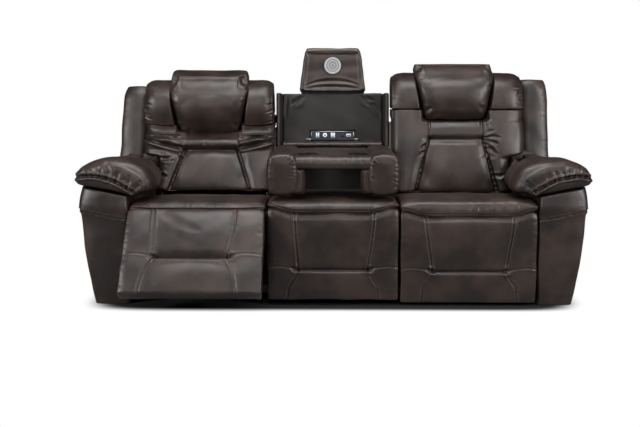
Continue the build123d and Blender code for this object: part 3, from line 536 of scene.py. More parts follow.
@dataclass
class Gathers:
    """Small folds that run away from a seam.

    Attributes:
        path: The seam.
        pitch: The distance from fold to fold.
        reach: How far they run.
        depth: How deep they are.
        hand: The side of the path they run to, +1 for left of its direction, -1 or 0 for both.
        lean: How far they slant along the seam, as a share of their length.
        seed: The start of their random numbers.
        width: Their half width.
    """

    path: Path
    pitch: float
    reach: float
    depth: float
    hand: int
    lean: float
    seed: int
    width: float

    def __call__(self, points: np.ndarray, normals: np.ndarray) -> np.ndarray:
        """The distances outwards at points with normals."""
        random = np.random.default_rng(self.seed)
        line = drawn(self.path, 10)
        length = np.linalg.norm(np.diff(line, axis=0), axis=1).sum()
        count = max(2, int(length / self.pitch))
        spots = evenly(line, GATHER_SPOTS)
        flat = Side.FRONT.flat(points)
        near, _ = from_path(flat, evenly(line, 12))
        chosen = (near < self.reach * 1.7 + 10) & (Side.FRONT.facing(normals) > 0.01)
        total = np.zeros(len(points))
        if not chosen.any():
            return total
        local = flat[chosen]
        sum_here = np.zeros(len(local))
        for hand in (1, -1) if self.hand == 0 else (self.hand,):
            for k in range(count):
                at = (k + 0.5 + random.uniform(-PLACE_SPREAD, PLACE_SPREAD)) / count
                index = int(np.clip(at * (GATHER_SPOTS - 1), 1, GATHER_SPOTS - 2))
                start = spots[index]
                along = spots[index + 1] - spots[index - 1]
                along /= np.linalg.norm(along) + 1e-9
                away = np.array([-along[1], along[0]]) * hand
                size = self.reach * random.uniform(*LENGTH_SPREAD)
                slant = self.lean + random.normal(0, SLANT_SPREAD)
                end = start + size * (away + along * slant)
                bend = along * random.normal(0, BEND_SPREAD) * size
                mid = (start + end) / 2 + bend
                crease = spline([tuple(start - away * 2), tuple(mid), tuple(end)], 4)
                close = np.abs(local - (start + end) / 2).max(1) < 0.5 * size + 5 * self.width + 6
                if not close.any():
                    random.uniform(size=2)
                    continue
                gap, share = from_path(local[close], crease)
                w = self.width * random.uniform(*WIDTH_SPREAD) * (0.75 + 0.6 * share)
                fade = (1 - share) ** 0.75
                depth = self.depth * random.uniform(*DEPTH_SPREAD)
                sum_here[close] += depth * fade * fold(gap, w, GATHER_SWELL)
        total[chosen] = sum_here * Side.FRONT.facing(normals[chosen])
        return total


@dataclass
class Creases:
    """Folds at listed places.

    Attributes:
        paths: One path for each.
        width: Their half width.
        depth: How deep they are.
        swell: The height of the leather beside them, as a share of the depth.
    """

    paths: Sequence[Path]
    width: float
    depth: float
    swell: float

    def __call__(self, points: np.ndarray, normals: np.ndarray) -> np.ndarray:
        """The distances outwards at points with normals."""
        total = np.zeros(len(points))
        flat = Side.FRONT.flat(points)
        for path in self.paths:
            gap, share = from_path(flat, drawn(path, 6))
            middle = np.sin(np.pi * np.clip(share, 0, 1))
            width = self.width * (0.55 + 0.9 * middle)
            total += self.depth * middle**0.6 * fold(gap, width, self.swell)
        return total * Side.FRONT.facing(normals)


@dataclass
class Crown:
    """A swelling over an ellipse.

    Attributes:
        centre: Its middle.
        radii: Its half sizes.
        height: Its height.
        side: The side it is drawn on.
    """

    centre: tuple[float, float]
    radii: tuple[float, float]
    height: float
    side: Side = Side.FRONT

    def __call__(self, points: np.ndarray, normals: np.ndarray) -> np.ndarray:
        """The distances outwards at points with normals."""
        flat = (self.side.flat(points) - np.array(self.centre)) / np.array(self.radii)
        r2 = (np.abs(flat) ** 2.4).sum(1)
        return self.height * np.clip(1 - r2, 0, 1) ** 1.2 * self.side.facing(normals)


@dataclass
class Slack:
    """Soft unevenness of a stuffed cover.

    Attributes:
        height: How high it is.
        size: The distance from rise to rise.
        seed: The start of its random numbers.
    """

    height: float
    size: float
    seed: int

    def __call__(self, points: np.ndarray, normals: np.ndarray) -> np.ndarray:
        """The distances outwards at points with normals."""
        random = np.random.default_rng(self.seed)
        total = np.zeros(len(points))
        for _ in range(WAVES):
            direction = random.normal(size=3)
            direction /= np.linalg.norm(direction)
            size = self.size * random.uniform(*SIZE_SPREAD)
            total += np.sin(points @ direction * (2 * math.pi / size) + random.uniform(0, 6.3))
        return self.height * total / math.sqrt(WAVES)


# ---------------------------------------------------------------- shader maths
class Value:
    """A socket that takes part in Python expressions."""

    def __init__(self, shader: "Shader", socket: bpy.types.NodeSocket) -> None:
        """Wraps a socket of a shader."""
        self.shader, self.socket = shader, socket

    def _math(self, operation: str, *others: "Value | float") -> "Value":
        """Adds a Math node."""
        return self.shader.node("ShaderNodeMath", {"operation": operation}, self, *others)

    def __add__(self, other: "Value | float") -> "Value":
        """Sum."""
        return self._math("ADD", other)

    def __sub__(self, other: "Value | float") -> "Value":
        """Difference."""
        return self._math("SUBTRACT", other)

    def __mul__(self, other: "Value | float") -> "Value":
        """Product."""
        return self._math("MULTIPLY", other)

    def __pow__(self, other: "Value | float") -> "Value":
        """Power."""
        return self._math("POWER", other)

    def __rsub__(self, other: float) -> "Value":
        """Difference from a number."""
        return self.shader.node("ShaderNodeMath", {"operation": "SUBTRACT"}, other, self)

    __radd__, __rmul__ = __add__, __mul__

    def band(self, low: float, high: float) -> "Value":
        """A smooth step from 0 at low to 1 at high."""
        settings = {"interpolation_type": "SMOOTHSTEP"}
        return self.shader.node("ShaderNodeMapRange", settings, self, low, high, 0.0, 1.0)


class Shader:
    """A material's node tree."""

    def __init__(self, name: str) -> None:
        """Starts a material of that name."""
        self.material = bpy.data.materials.new(name)
        self.material.use_nodes = True
        self.tree = self.material.node_tree
        self.tree.nodes.clear()
        self.output = self.tree.nodes.new("ShaderNodeOutputMaterial")
        self.where = self.node("ShaderNodeTexCoord", {}, output="Object")

    def node(
        self,
        kind: str,
        settings: dict[str, object],
        *values: object,
        output: str | int = 0,
        **named: object,
    ) -> Value:
        """Adds a node.

        Args:
            kind: Its type.
            settings: Its settings; "stops" holds a ramp's places and colours.
            values: The values or links of its sockets, in order.
            output: The socket that is wanted.
            named: Values of named sockets, with _ for a space.

        Returns:
            The wanted output.
        """
        made = self.tree.nodes.new(kind)
        for key, value in settings.items():
            if key == "stops":
                ramp = made.color_ramp
                while len(ramp.elements) < len(value):
                    ramp.elements.new(0.5)
                for element, (place, colour) in zip(ramp.elements, value):
                    element.position, element.color = place, colour
            else:
                setattr(made, key, value)
        pairs = list(zip(made.inputs, values))
        pairs += [(made.inputs[key.replace("_", " ")], value) for key, value in named.items()]
        for socket, value in pairs:
            if isinstance(value, Value):
                self.tree.links.new(value.socket, socket)
            else:
                socket.default_value = value
        return Value(self, made.outputs[output])

    def noise(self, scale: float, detail: float, rough: float = 0.5) -> Value:
        """Noise over the object."""
        return self.node(
            "ShaderNodeTexNoise", {}, self.where, Scale=scale, Detail=detail, Roughness=rough
        )

    def mix(self, share: Value | float, a: object, b: object) -> Value:
        """Mixes two colours."""
        made = self.tree.nodes.new("ShaderNodeMix")
        made.data_type = "RGBA"
        for index, value in ((0, share), (6, a), (7, b)):
            if isinstance(value, Value):
                self.tree.links.new(value.socket, made.inputs[index])
            else:
                made.inputs[index].default_value = value
        return Value(self, made.outputs[2])

    def bump(self, height: Value, strength: float, distance: float) -> Value:
        """A normal from a height."""
        return self.node(
            "ShaderNodeBump", {}, Strength=strength, Distance=distance, Height=height
        )

    def finish(self, **inputs: object) -> bpy.types.Material:
        """Ends the material in a Principled shader with these sockets."""
        made = self.node("ShaderNodeBsdfPrincipled", {}, **inputs)
        self.tree.links.new(made.socket, self.output.inputs[0])
        return self.material


def rgb(red: float, green: float, blue: float) -> tuple[float, float, float, float]:
    """A colour."""
    return red, green, blue, 1.0


@dataclass(frozen=True)
class Leather:
    """Burnished two-tone leather.

    Attributes:
        name: The finish's name.
        dark: The colour in the hollows of the mottling.
        light: The rubbed colour.
        roughness: How matt it is.
        mottle: How much of the lighter colour shows.
    """

    name: str
    dark: tuple[float, float, float]
    light: tuple[float, float, float]
    roughness: float = 0.42
    mottle: float = 0.5

    def made(self) -> bpy.types.Material:
        """The material."""
        s = Shader(self.name)
        cloud = s.noise(7.0, 3.0, 0.55).band(0.36, 0.68)
        streak = s.noise(26.0, 4.0, 0.6)
        fine = s.noise(190.0, 2.0)
        share = (cloud * 0.75 + streak * 0.35 - 0.16) * self.mottle * 2
        colour = s.mix(share, rgb(*self.dark), rgb(*self.light))
        colour = s.mix(fine.band(0.42, 0.62) * 0.2, colour, rgb(*[0.62 * c for c in self.dark]))
        pebble = s.node(
            "ShaderNodeTexVoronoi", {"feature": "SMOOTH_F1"}, s.where, Scale=430.0, Smoothness=0.35
        )
        height = pebble * 0.7 + s.noise(900.0, 2.0) * 0.3 + s.noise(70.0, 3.0) * 0.9
        rough = s.noise(40.0, 3.0) * 0.16 + (self.roughness - 0.06)
        return s.finish(
            Base_Color=colour,
            Roughness=rough,
            Coat_Weight=0.07,
            Coat_Roughness=0.3,
            Normal=s.bump(height, 0.22, 0.0011),
        )


@dataclass(frozen=True)
class Plain:
    """A metal, plastic or thread finish with fine unevenness.

    Attributes:
        name: The finish's name.
        colour: Its colour.
        metallic: 1 for bare metal.
        roughness: How matt it is.
        grain: The fineness of its unevenness.
        relief: The height of its unevenness, in metres.
        wear: How much its colour varies.
    """

    name: str
    colour: tuple[float, float, float]
    metallic: float
    roughness: float
    grain: float
    relief: float
    wear: float

    def made(self) -> bpy.types.Material:
        """The material."""
        s = Shader(self.name)
        mottling = s.noise(30.0, 4.0)
        grain = s.noise(self.grain, 3.0)
        low = rgb(*[c * (1 - self.wear) for c in self.colour])
        high = rgb(*[min(1.0, c * (1 + self.wear)) for c in self.colour])
        return s.finish(
            Base_Color=s.mix(mottling, low, high),
            Metallic=self.metallic,
            Roughness=mottling * 0.14 + (self.roughness - 0.07),
            Normal=s.bump(grain, 0.25, self.relief),
        )


@dataclass(frozen=True)
class Timber:
    """Sawn softwood.

    Attributes:
        name: The finish's name.
    """

    name: str

    def made(self) -> bpy.types.Material:
        """The material."""
        s = Shader(self.name)
        stretched = s.node("ShaderNodeMapping", {}, s.where, Scale=(3.0, 14.0, 14.0))
        wave = s.node(
            "ShaderNodeTexNoise", {}, stretched, Scale=6.0, Detail=5.0, Roughness=0.6
        )
        fine = s.noise(220.0, 3.0)
        colour = s.mix(wave.band(0.35, 0.65), rgb(0.46, 0.31, 0.17), rgb(0.66, 0.5, 0.32))
        return s.finish(
            Base_Color=colour,
            Roughness=fine * 0.2 + 0.6,
            Normal=s.bump(wave + fine * 0.4, 0.3, 0.0012),
        )


class Finish(Enum):
    """The finishes of the sofa."""

    LEATHER = Leather("espresso_leather", (0.0115, 0.0062, 0.0048), (0.046, 0.027, 0.0205))
    LINING = Leather(
        "lining_leather", (0.0062, 0.0041, 0.0033), (0.0135, 0.0095, 0.0079), 0.55, 0.3
    )
    THREAD = Plain("seam_thread", (0.17, 0.105, 0.085), 0.0, 0.6, 1500.0, 0.0002, 0.25)
    # the cords' leather is lighter than the cover's: a painted highlight along the piped edges
    PIPING = Leather("piping_leather", (0.03, 0.019, 0.016), (0.085, 0.056, 0.048), 0.34, 0.6)
    TIMBER = Timber("sawn_timber")
    DARK_STEEL = Plain("blackened_steel", (0.03, 0.03, 0.033), 0.75, 0.38, 500.0, 0.00015, 0.3)
    BRIGHT_STEEL = Plain("zinc_steel", (0.5, 0.5, 0.52), 1.0, 0.36, 600.0, 0.00012, 0.15)
    BLACK_PLASTIC = Plain(
        "matt_black_plastic", (0.018, 0.018, 0.019), 0.0, 0.5, 1300.0, 0.0002, 0.1
    )
    SOCKET = Plain("outlet_plastic", (0.014, 0.018, 0.024), 0.0, 0.5, 900.0, 0.0001, 0.1)
    WHITE_PLASTIC = Plain("ivory_plastic", (0.8, 0.82, 0.86), 0.0, 0.35, 900.0, 0.0001, 0.04)
    LAMP_METAL = Plain("satin_aluminium", (0.36, 0.36, 0.365), 0.0, 0.55, 700.0, 0.0001, 0.06)
    DIFFUSER = Plain("frosted_diffuser", (0.2, 0.2, 0.2), 0.0, 0.6, 500.0, 0.0001, 0.05)

    @property
    def material(self) -> bpy.types.Material:
        """The finish's material, made when it is first wanted."""
        found = bpy.data.materials.get(self.value.name)
        return found or self.value.made()


# ---------------------------------------------------------------- objects
def finished(name: str, mesh: bpy.types.Mesh, finish: Finish) -> bpy.types.Object:
    """Puts a mesh in the scene with its finish."""
    mesh.materials.clear()
    mesh.materials.append(finish.material)
    return placed(name, mesh)


def upholstered(
    name: str,
    shell: Shell,
    pose: Pose = at_rest,
    finish: Finish = Finish.LEATHER,
    *,
    replaces: Sequence[str] = (),
    body: str | None = "base",
) -> bpy.types.Object:
    """Makes a soft piece of a shell.

    Args:
        name: The piece's name.
        shell: Its surface.
        pose: Where its points stand at rest.
        finish: Its finish.
        replaces: The nodes that it stands for.
        body: The body that it rides on, or None to leave it unattached.

    Returns:
        The piece.
    """
    mesh = Shell(to_row(pose(shell.points)), shell.quads, shell.tris).raw_mesh(name)
    mesh.shade_smooth()
    obj = finished(name, mesh, finish)
    if replaces:
        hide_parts(*replaces)
    if body is not None:
        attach(obj, body)
    LOG.info("%s: %d faces", name, len(mesh.polygons))
    return obj


class Trim(Enum):
    """What is laid along a line by Geometry Nodes."""

    STITCHES = "stitches"
    PIPING = "piping"


class TrimTree:
    """Geometry Nodes trees that lay stitches or a cord along lines."""

    def __init__(self, kind: Trim) -> None:
        """Builds the tree of that kind."""
        self.tree = bpy.data.node_groups.new(kind.value, "GeometryNodeTree")
        face = self.tree.interface
        face.new_socket("Geometry", in_out="INPUT", socket_type="NodeSocketGeometry")
        face.new_socket("Geometry", in_out="OUTPUT", socket_type="NodeSocketGeometry")
        self.ids: dict[str, str] = {}
        for name, kind_name in (
            ("Pitch", "NodeSocketFloat"),
            ("Length", "NodeSocketFloat"),
            ("Radius", "NodeSocketFloat"),
            ("Finish", "NodeSocketMaterial"),
        ):
            made = face.new_socket(name, in_out="INPUT", socket_type=kind_name)
            self.ids[name] = made.identifier
        start = self.tree.nodes.new("NodeGroupInput")
        end = self.tree.nodes.new("NodeGroupOutput")
        curve = self._node("GeometryNodeMeshToCurve", {}, {"Mesh": start.outputs["Geometry"]})
        if kind is Trim.STITCHES:
            geometry = self._stitches(start, curve)
        else:
            geometry = self._piping(start, curve)
        real = self._node("GeometryNodeRealizeInstances", {}, {"Geometry": geometry})
        coat = self._node(
            "GeometryNodeSetMaterial",
            {},
            {"Geometry": real.outputs[0], "Material": start.outputs["Finish"]},
        )
        self.tree.links.new(coat.outputs[0], end.inputs[0])

    def _node(
        self, kind: str, settings: dict[str, object], sockets: dict[str, object]
    ) -> bpy.types.Node:
        """Adds a node, sets it and links it."""
        made = self.tree.nodes.new(kind)
        for key, value in settings.items():
            setattr(made, key, value)
        for key, value in sockets.items():
            if isinstance(value, bpy.types.NodeSocket):
                self.tree.links.new(value, made.inputs[key])
            else:
                made.inputs[key].default_value = value
        return made

    def _stitches(self, start: bpy.types.Node, curve: bpy.types.Node) -> bpy.types.NodeSocket:
        """A short thread at every pitch, turned along the line."""
        spots = self._node(
            "GeometryNodeCurveToPoints",
            {"mode": "LENGTH"},
            {"Curve": curve.outputs[0], "Length": start.outputs["Pitch"]},
        )
        bead = self._node(
            "GeometryNodeMeshUVSphere", {}, {"Segments": 6, "Rings": 5, "Radius": 1.0}
        )
        size = self._node(
            "ShaderNodeCombineXYZ", {},
            {
                "X": start.outputs["Radius"], "Y": start.outputs["Radius"],
                "Z": start.outputs["Length"],
            },
        )
        laid = self._node(
            "GeometryNodeInstanceOnPoints",
            {},
            {
                "Points": spots.outputs["Points"],
                "Instance": bead.outputs["Mesh"],
                "Rotation": spots.outputs["Rotation"],
                "Scale": size.outputs[0],
            },
        )
        return laid.outputs[0]

    def _piping(self, start: bpy.types.Node, curve: bpy.types.Node) -> bpy.types.NodeSocket:
        """A round cord along the line."""
        even = self._node(
            "GeometryNodeResampleCurve",
            {"mode": "LENGTH"},
            {"Curve": curve.outputs[0], "Length": start.outputs["Pitch"]},
        )
        circle = self._node(
            "GeometryNodeCurvePrimitiveCircle",
            {},
            {"Resolution": 8, "Radius": start.outputs["Radius"]},
        )
        swept = self._node(
            "GeometryNodeCurveToMesh",
            {},
            {"Curve": even.outputs[0], "Profile Curve": circle.outputs[0], "Fill Caps": True},
        )
        smoothed = self._node("GeometryNodeSetShadeSmooth", {}, {"Geometry": swept.outputs[0]})
        return smoothed.outputs[0]

    def laid(
        self,
        name: str,
        lines: Sequence[np.ndarray],
        pitch: float,
        length: float,
        radius: float,
        finish: Finish,
    ) -> bpy.types.Object:
        """Lays the trim along lines.

        Args:
            name: The piece's name.
            lines: Lines in millimetres, posed.
            pitch: The distance from stitch to stitch, or between rings of a cord.
            length: Half a stitch.
            radius: The thread's or cord's radius.
            finish: Its finish.

        Returns:
            The piece, a plain mesh.
        """
        mesh = bpy.data.meshes.new(name)
        points, edges = [], []
        for line in lines:
            first = len(points)
            points += to_row(line).tolist()
            edges += [(first + k, first + k + 1) for k in range(len(line) - 1)]
        mesh.from_pydata(points, edges, [])
        obj = placed(name, mesh)
        modifier = obj.modifiers.new("trim", "NODES")
        modifier.node_group = self.tree
        for key, size in (("Pitch", pitch), ("Length", length), ("Radius", radius)):
            modifier[self.ids[key]] = size / MM_PER_METRE
        modifier[self.ids["Finish"]] = finish.material
        obj.update_tag()
        done = applied(obj)
        bpy.data.objects.remove(obj)
        done.name = name
        done.shade_smooth()
        made = placed(name, done)
        return made


class Tailor:
    """Lays stitches and piping on shells."""

    def __init__(self) -> None:
        """Builds the two trees."""
        self.trees = {kind: TrimTree(kind) for kind in Trim}

    def stitch(self, name: str, lines: Iterable[np.ndarray], pose: Pose, body: str) -> None:
        """Sews lines on a piece.

        Args:
            name: The stitches' name.
            lines: Lines laid on the piece's surface, before its pose.
            pose: The piece's pose.
            body: The body that they ride on.
        """
        posed = [pose(line) for line in lines]
        sizes = (STITCH_PITCH, HALF_STITCH, THREAD_RADIUS)
        made = self.trees[Trim.STITCHES].laid(name, posed, *sizes, Finish.THREAD)
        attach(made, body)

    def pipe(
        self, name: str, lines: Iterable[np.ndarray], pose: Pose, body: str, radius: float
    ) -> None:
        """Lays a cord along lines.

        Args:
            name: The cord's name.
            lines: Lines laid on the piece's surface, before its pose.
            pose: The piece's pose.
            body: The body that it rides on.
            radius: The cord's radius.
        """
        posed = [pose(line) for line in lines]
        sizes = (PIPING_PITCH, 0.0, radius)
        made = self.trees[Trim.PIPING].laid(name, posed, *sizes, Finish.PIPING)
        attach(made, body)


# ---------------------------------------------------------------- seats
@dataclass
class Span:
    """The width of a seat, with the dip of its front edge between the corners.

    Attributes:
        x0: Its left side.
        x1: Its right side.
        sag: How far the front edge dips.
    """

    x0: float
    x1: float
    sag: float

    @property
    def middle(self) -> float:
        """Its middle."""
        return (self.x0 + self.x1) / 2

    def edge(self, x: float) -> float:
        """The distance of a place from the nearer side."""
        return min(x - self.x0, self.x1 - x)

    def dip(self, x: float) -> float:
        """How far the front edge dips at a place."""
        return self.sag * float(smooth(8, 122, self.edge(x)))

    def places(self) -> list[float]:
        """Places for sections."""
        marks = (0, 8, 24, 50, 86, 122)
        low, high = [self.x0 + m for m in marks], [self.x1 - m for m in marks]
        return low + [self.x0 + 200, self.middle, self.x1 - 200] + high[::-1]

    def line(self, height: float) -> np.ndarray:
        """A dipping line across the front, in x and height."""
        xs = np.linspace(self.x0 + 7, self.x1 - 7, 60)
        return np.array([(x, height - self.dip(x)) for x in xs])


@dataclass
class SeatCushion:
    """A seat cushion with a rolled front edge that dips between its corners.

    Attributes:
        name: The node it replaces.
        span: Its width.
        top: The height of its crown.
        lip: The height of the front seam at the corners.
        seed: The start of its random numbers.
        creases: Listed folds on its front.
    """

    name: str
    span: Span
    top: float
    lip: float
    seed: int
    creases: Sequence[Path] = ()

    def section(self, x: float) -> np.ndarray:
        """The side profile at a place."""
        edge = max(self.span.edge(x), 0)
        top = self.top - 13 * math.exp(-edge / 15)
        lip = self.lip - self.span.dip(x)
        under = min(lip - 3, 410)
        return np.array(
            [
                (60, lip - 3), (24, lip - 5), (7, lip - 1), (-1, lip + 9), (1, (lip + top) / 2 - 5),
                (10, top - 18), (28, top - 7), (56, top - 1.5), (96, top), (160, top - 2),
                (300, top - 13), (420, top - 27), (500, top - 40), (530, top - 47), (543, 418),
                (541, 411), (526, 408), (400, 408), (250, 408), (140, 408), (100, min(408, under)),
                (80, under - 1),
            ]
        )

    def build(self, tailor: Tailor) -> None:
        """Makes the cushion, its piping and its stitches."""
        span = self.span
        stations = [(x, self.section(x)) for x in span.places()]
        shell = Shell.stacked(Axis.X, stations, 10.0, (7, 7)).refined()
        seam = span.line(self.lip + 6)
        shell.push(
            Crown((span.middle, 250), (240, 230), 5, Side.TOP),
            Slack(1.5, 160, self.seed),
            Gathers(seam[4:-4:5], 21, 36, 2.2, 1, 0.35, self.seed, 5.5),
            Creases(self.creases, 11.0, 1.7, 0.6),
            Groove(seam, 3.2, 2.6, 0.3),
        )
        upholstered(self.name + ".cover", shell, replaces=[self.name])
        tailor.stitch(
            self.name + ".stitches",
            [shell.traced(span.line(self.lip + 13), 0.3)],
            at_rest,
            "base",
        )
        tailor.pipe(
            self.name + ".piping", [shell.traced(span.line(self.lip + 1), 0.4)], at_rest, "base",
            2.4,
        )


@dataclass
class FrontPad:
    """The upholstered panel under a seat's front edge, or the footrest's pad.

    Attributes:
        name: The node it replaces.
        body: The body that it rides on.
        span: Its width.
        low: The height of its bottom edge.
        high: The height of its top at the corners.
        pose: Where it stands at rest.
        seed: The start of its random numbers.
        creases: Listed folds on its front.
        tuck: The height of the seam that is tucked in.
        roll: How far the panel above it rolls in, and over what height.
        sides: Places of the side seams from the middle: left top and tuck, right top and tuck.
    """

    name: str
    body: str
    span: Span
    low: float
    high: float
    pose: Pose
    seed: int
    creases: Sequence[Path]
    tuck: float
    roll: tuple[float, float]
    sides: tuple[float, float, float, float]

    def section(self, x: float) -> np.ndarray:
        """The side profile at a place."""
        edge = max(self.span.edge(x), 0)
        top = self.high - self.span.dip(x) - 7 * math.exp(-edge / 10)
        inset = 9 * math.exp(-edge / 11)
        low = self.low
        return np.array(
            [
                (40, low), (18 + inset, low), (7 + inset, low + 2), (2 + inset, low + 9),
                (0 + inset, low + 34), (-3 + inset, 110), (-3 + inset, 150), (-2 + inset, 200),
                (-5 + inset, 270), (-5 + inset, 330), (-2 + inset, 0.5 * top + 172),
                (2 + inset, top - 24), (9 + inset, top - 10), (22 + inset, top - 2),
                (42, top), (60, top - 2), (68, top - 10), (69, 360), (69, 260), (69, 160),
                (69, 80), (67, low + 8), (62, low + 1),
            ]
        )

    def _undercut(self, points: np.ndarray, normals: np.ndarray) -> np.ndarray:
        """The upper panel's lower edge, rolled in over the tuck."""
        u = np.abs(points[:, 0] - self.span.middle)
        t = points[:, 2] - self.tuck
        depth, height = self.roll
        roll = np.where(
            t > 0, np.clip(1 - t / height, 0, 1) ** 2.2, np.clip(1 + t / 9, 0, 1) ** 1.6
        )
        return -depth * roll * smooth(174, 150, u) * Side.FRONT.facing(normals)

    def build(self, tailor: Tailor) -> None:
        """Makes the pad, its stitches and its piping."""
        span, tuck, low = self.span, self.tuck, self.low
        shell = Shell.stacked(
            Axis.X, [(x, self.section(x)) for x in span.places()], 9.0, (6, 6)
        ).refined()
        middle, top = span.middle, self.high - span.sag - 4
        hands = (-1, 1)
        ends = (self.sides[:2], self.sides[2:])
        seams, lower, tails, flicks = [], [], [], []
        for h, (a, b) in zip(hands, ends):
            seams.append(
                [
                    (middle + a, top - 2), (middle + 0.8 * a + 0.2 * b, 330),
                    (middle + 0.35 * a + 0.65 * b, 235), (middle + b, tuck),
                ]
            )
            foot = middle + b
            down = ((2, tuck - 6), (26, tuck - 45), (42, 80), (50, low + 4))
            lower.append([(foot + h * x, z) for x, z in down])
            tail = [(foot + h * x, tuck + z) for x, z in ((3, 2), (40, 14), (90, 20))]
            tails.append(tail + [(middle + h * 290, tuck + 14)])
            flicks.append([(middle + h * x, tuck + z) for x, z in ((140, 0), (168, 6), (186, 20))])
        fields: list[Field] = [
            self._undercut,
            Crown((middle, (top + tuck) / 2 + 16), (160, (top - tuck) / 2), 8),
            Crown((middle, 92), (176, 66), 6),
            Slack(1.3, 130, self.seed),
            Creases(self.creases, 14.0, 1.4, 0.6),
            Creases(flicks, 6.0, 8.0, 0.5),
        ]
        fields += [Groove(seam, 4.0, 5.2, 0.5) for seam in seams]
        fields += [Groove(seam, 3.6, 4.0, 0.5) for seam in lower]
        fields += [Groove(tail, 3.0, 2.4, 0.4, (0.05, 0.0)) for tail in tails]
        fields += [
            Gathers(seam, 26, 20, 1.2, 0, 0.4, self.seed + k, 5.0)
            for k, seam in enumerate(seams + lower)
        ]
        fields += [
            Gathers(
                [(x - h * 10, low + 20), (x - h * 10, top)], 34, 22, 0.9, h, 0.0, self.seed + 7 + h,
                7.0,
            )
            for h, x in ((-1, span.x0), (1, span.x1))
        ]
        shell.push(*fields)
        upholstered(
            self.name + ".cover", shell, self.pose, replaces=[self.name], body=self.body
        )
        lines = [beside(seam, gap, 0) for seam in seams for gap in (-7.5, 7.5)]
        lines += [beside(seam, h * 7.0, 0) for seam, h in zip(lower, hands)]
        lines += [beside(tail, 0, -6.5) for tail in tails]
        lines += [span.line(self.high - 16)]
        traced = [shell.traced(line, 0.3) for line in lines]
        tailor.stitch(self.name + ".stitches", traced, self.pose, self.body)
        edge = shell.traced(span.line(self.high - 6), 0.5)
        tailor.pipe(self.name + ".piping", [edge], self.pose, self.body, 2.6)


def foot_pose(opening: float) -> Pose:
    """Where a footrest's points stand at rest.

    Args:
        opening: Degrees that the footrest is open.

    Returns:
        The pose.
    """
    closed, end = (
        reach(reach(SWING_PIVOT, SWING_LENGTH, SWING_CLOSED + angle), MID_LENGTH, MID_ANGLE)
        for angle in (0, opening)
    )

    def pose(points: np.ndarray) -> np.ndarray:
        """The posed points."""
        out = turned(points, closed, opening)
        out[..., 1] += end[0] - closed[0]
        out[..., 2] += end[1] - closed[1]
        return out

    return pose


# ---------------------------------------------------------------- backs
# depths of the front at the foot, at the lumbar panel's top and at the fold
FACE_FOOT, FACE_JOINT, FACE_FOLD = 546, 596, 646
# half the width of the middle panel at the foot, and how much it narrows up to its top
PANEL_HALF, PANEL_TAPER = 202, 66
# depths of the valley beside the panel, of its rise above the joint and of the panel's face
VALLEY, VALLEY_RISE, PANEL_SINK = 40, 24, 13
# how far the side falls back over its outer part and at its edge
SIDE_ROLL, EDGE_ROLL = 26, 24
# shares of the side's width: its inner roll, where its edge starts and how wide the edge is
INNER_ROLL, EDGE_START, EDGE_SHARE = 0.38, 0.84, 0.16
# outer edges of the back below and above the arm, and of the headrest
OUTER_LOW, OUTER_RISE, HEAD_OUTER = 888, 78, 966


def rear_line(height: float) -> float:
    """Depth of a back frame's front face at a height."""
    return 652.0 + (height - 440.0) * math.tan(math.radians(10))


def arc(share: np.ndarray) -> np.ndarray:
    """A round fall from 0 at share 0 to 1 at share 1."""
    return 1 - np.sqrt(1 - np.clip(share, 0, 1) ** 2 * 0.985)


def outer_roll(share: np.ndarray | float) -> np.ndarray | float:
    """How far the front falls back over its outer part, at shares of the side's width."""
    return SIDE_ROLL * np.clip((share - INNER_ROLL) / (1 - INNER_ROLL), 0, 1) ** 2.2


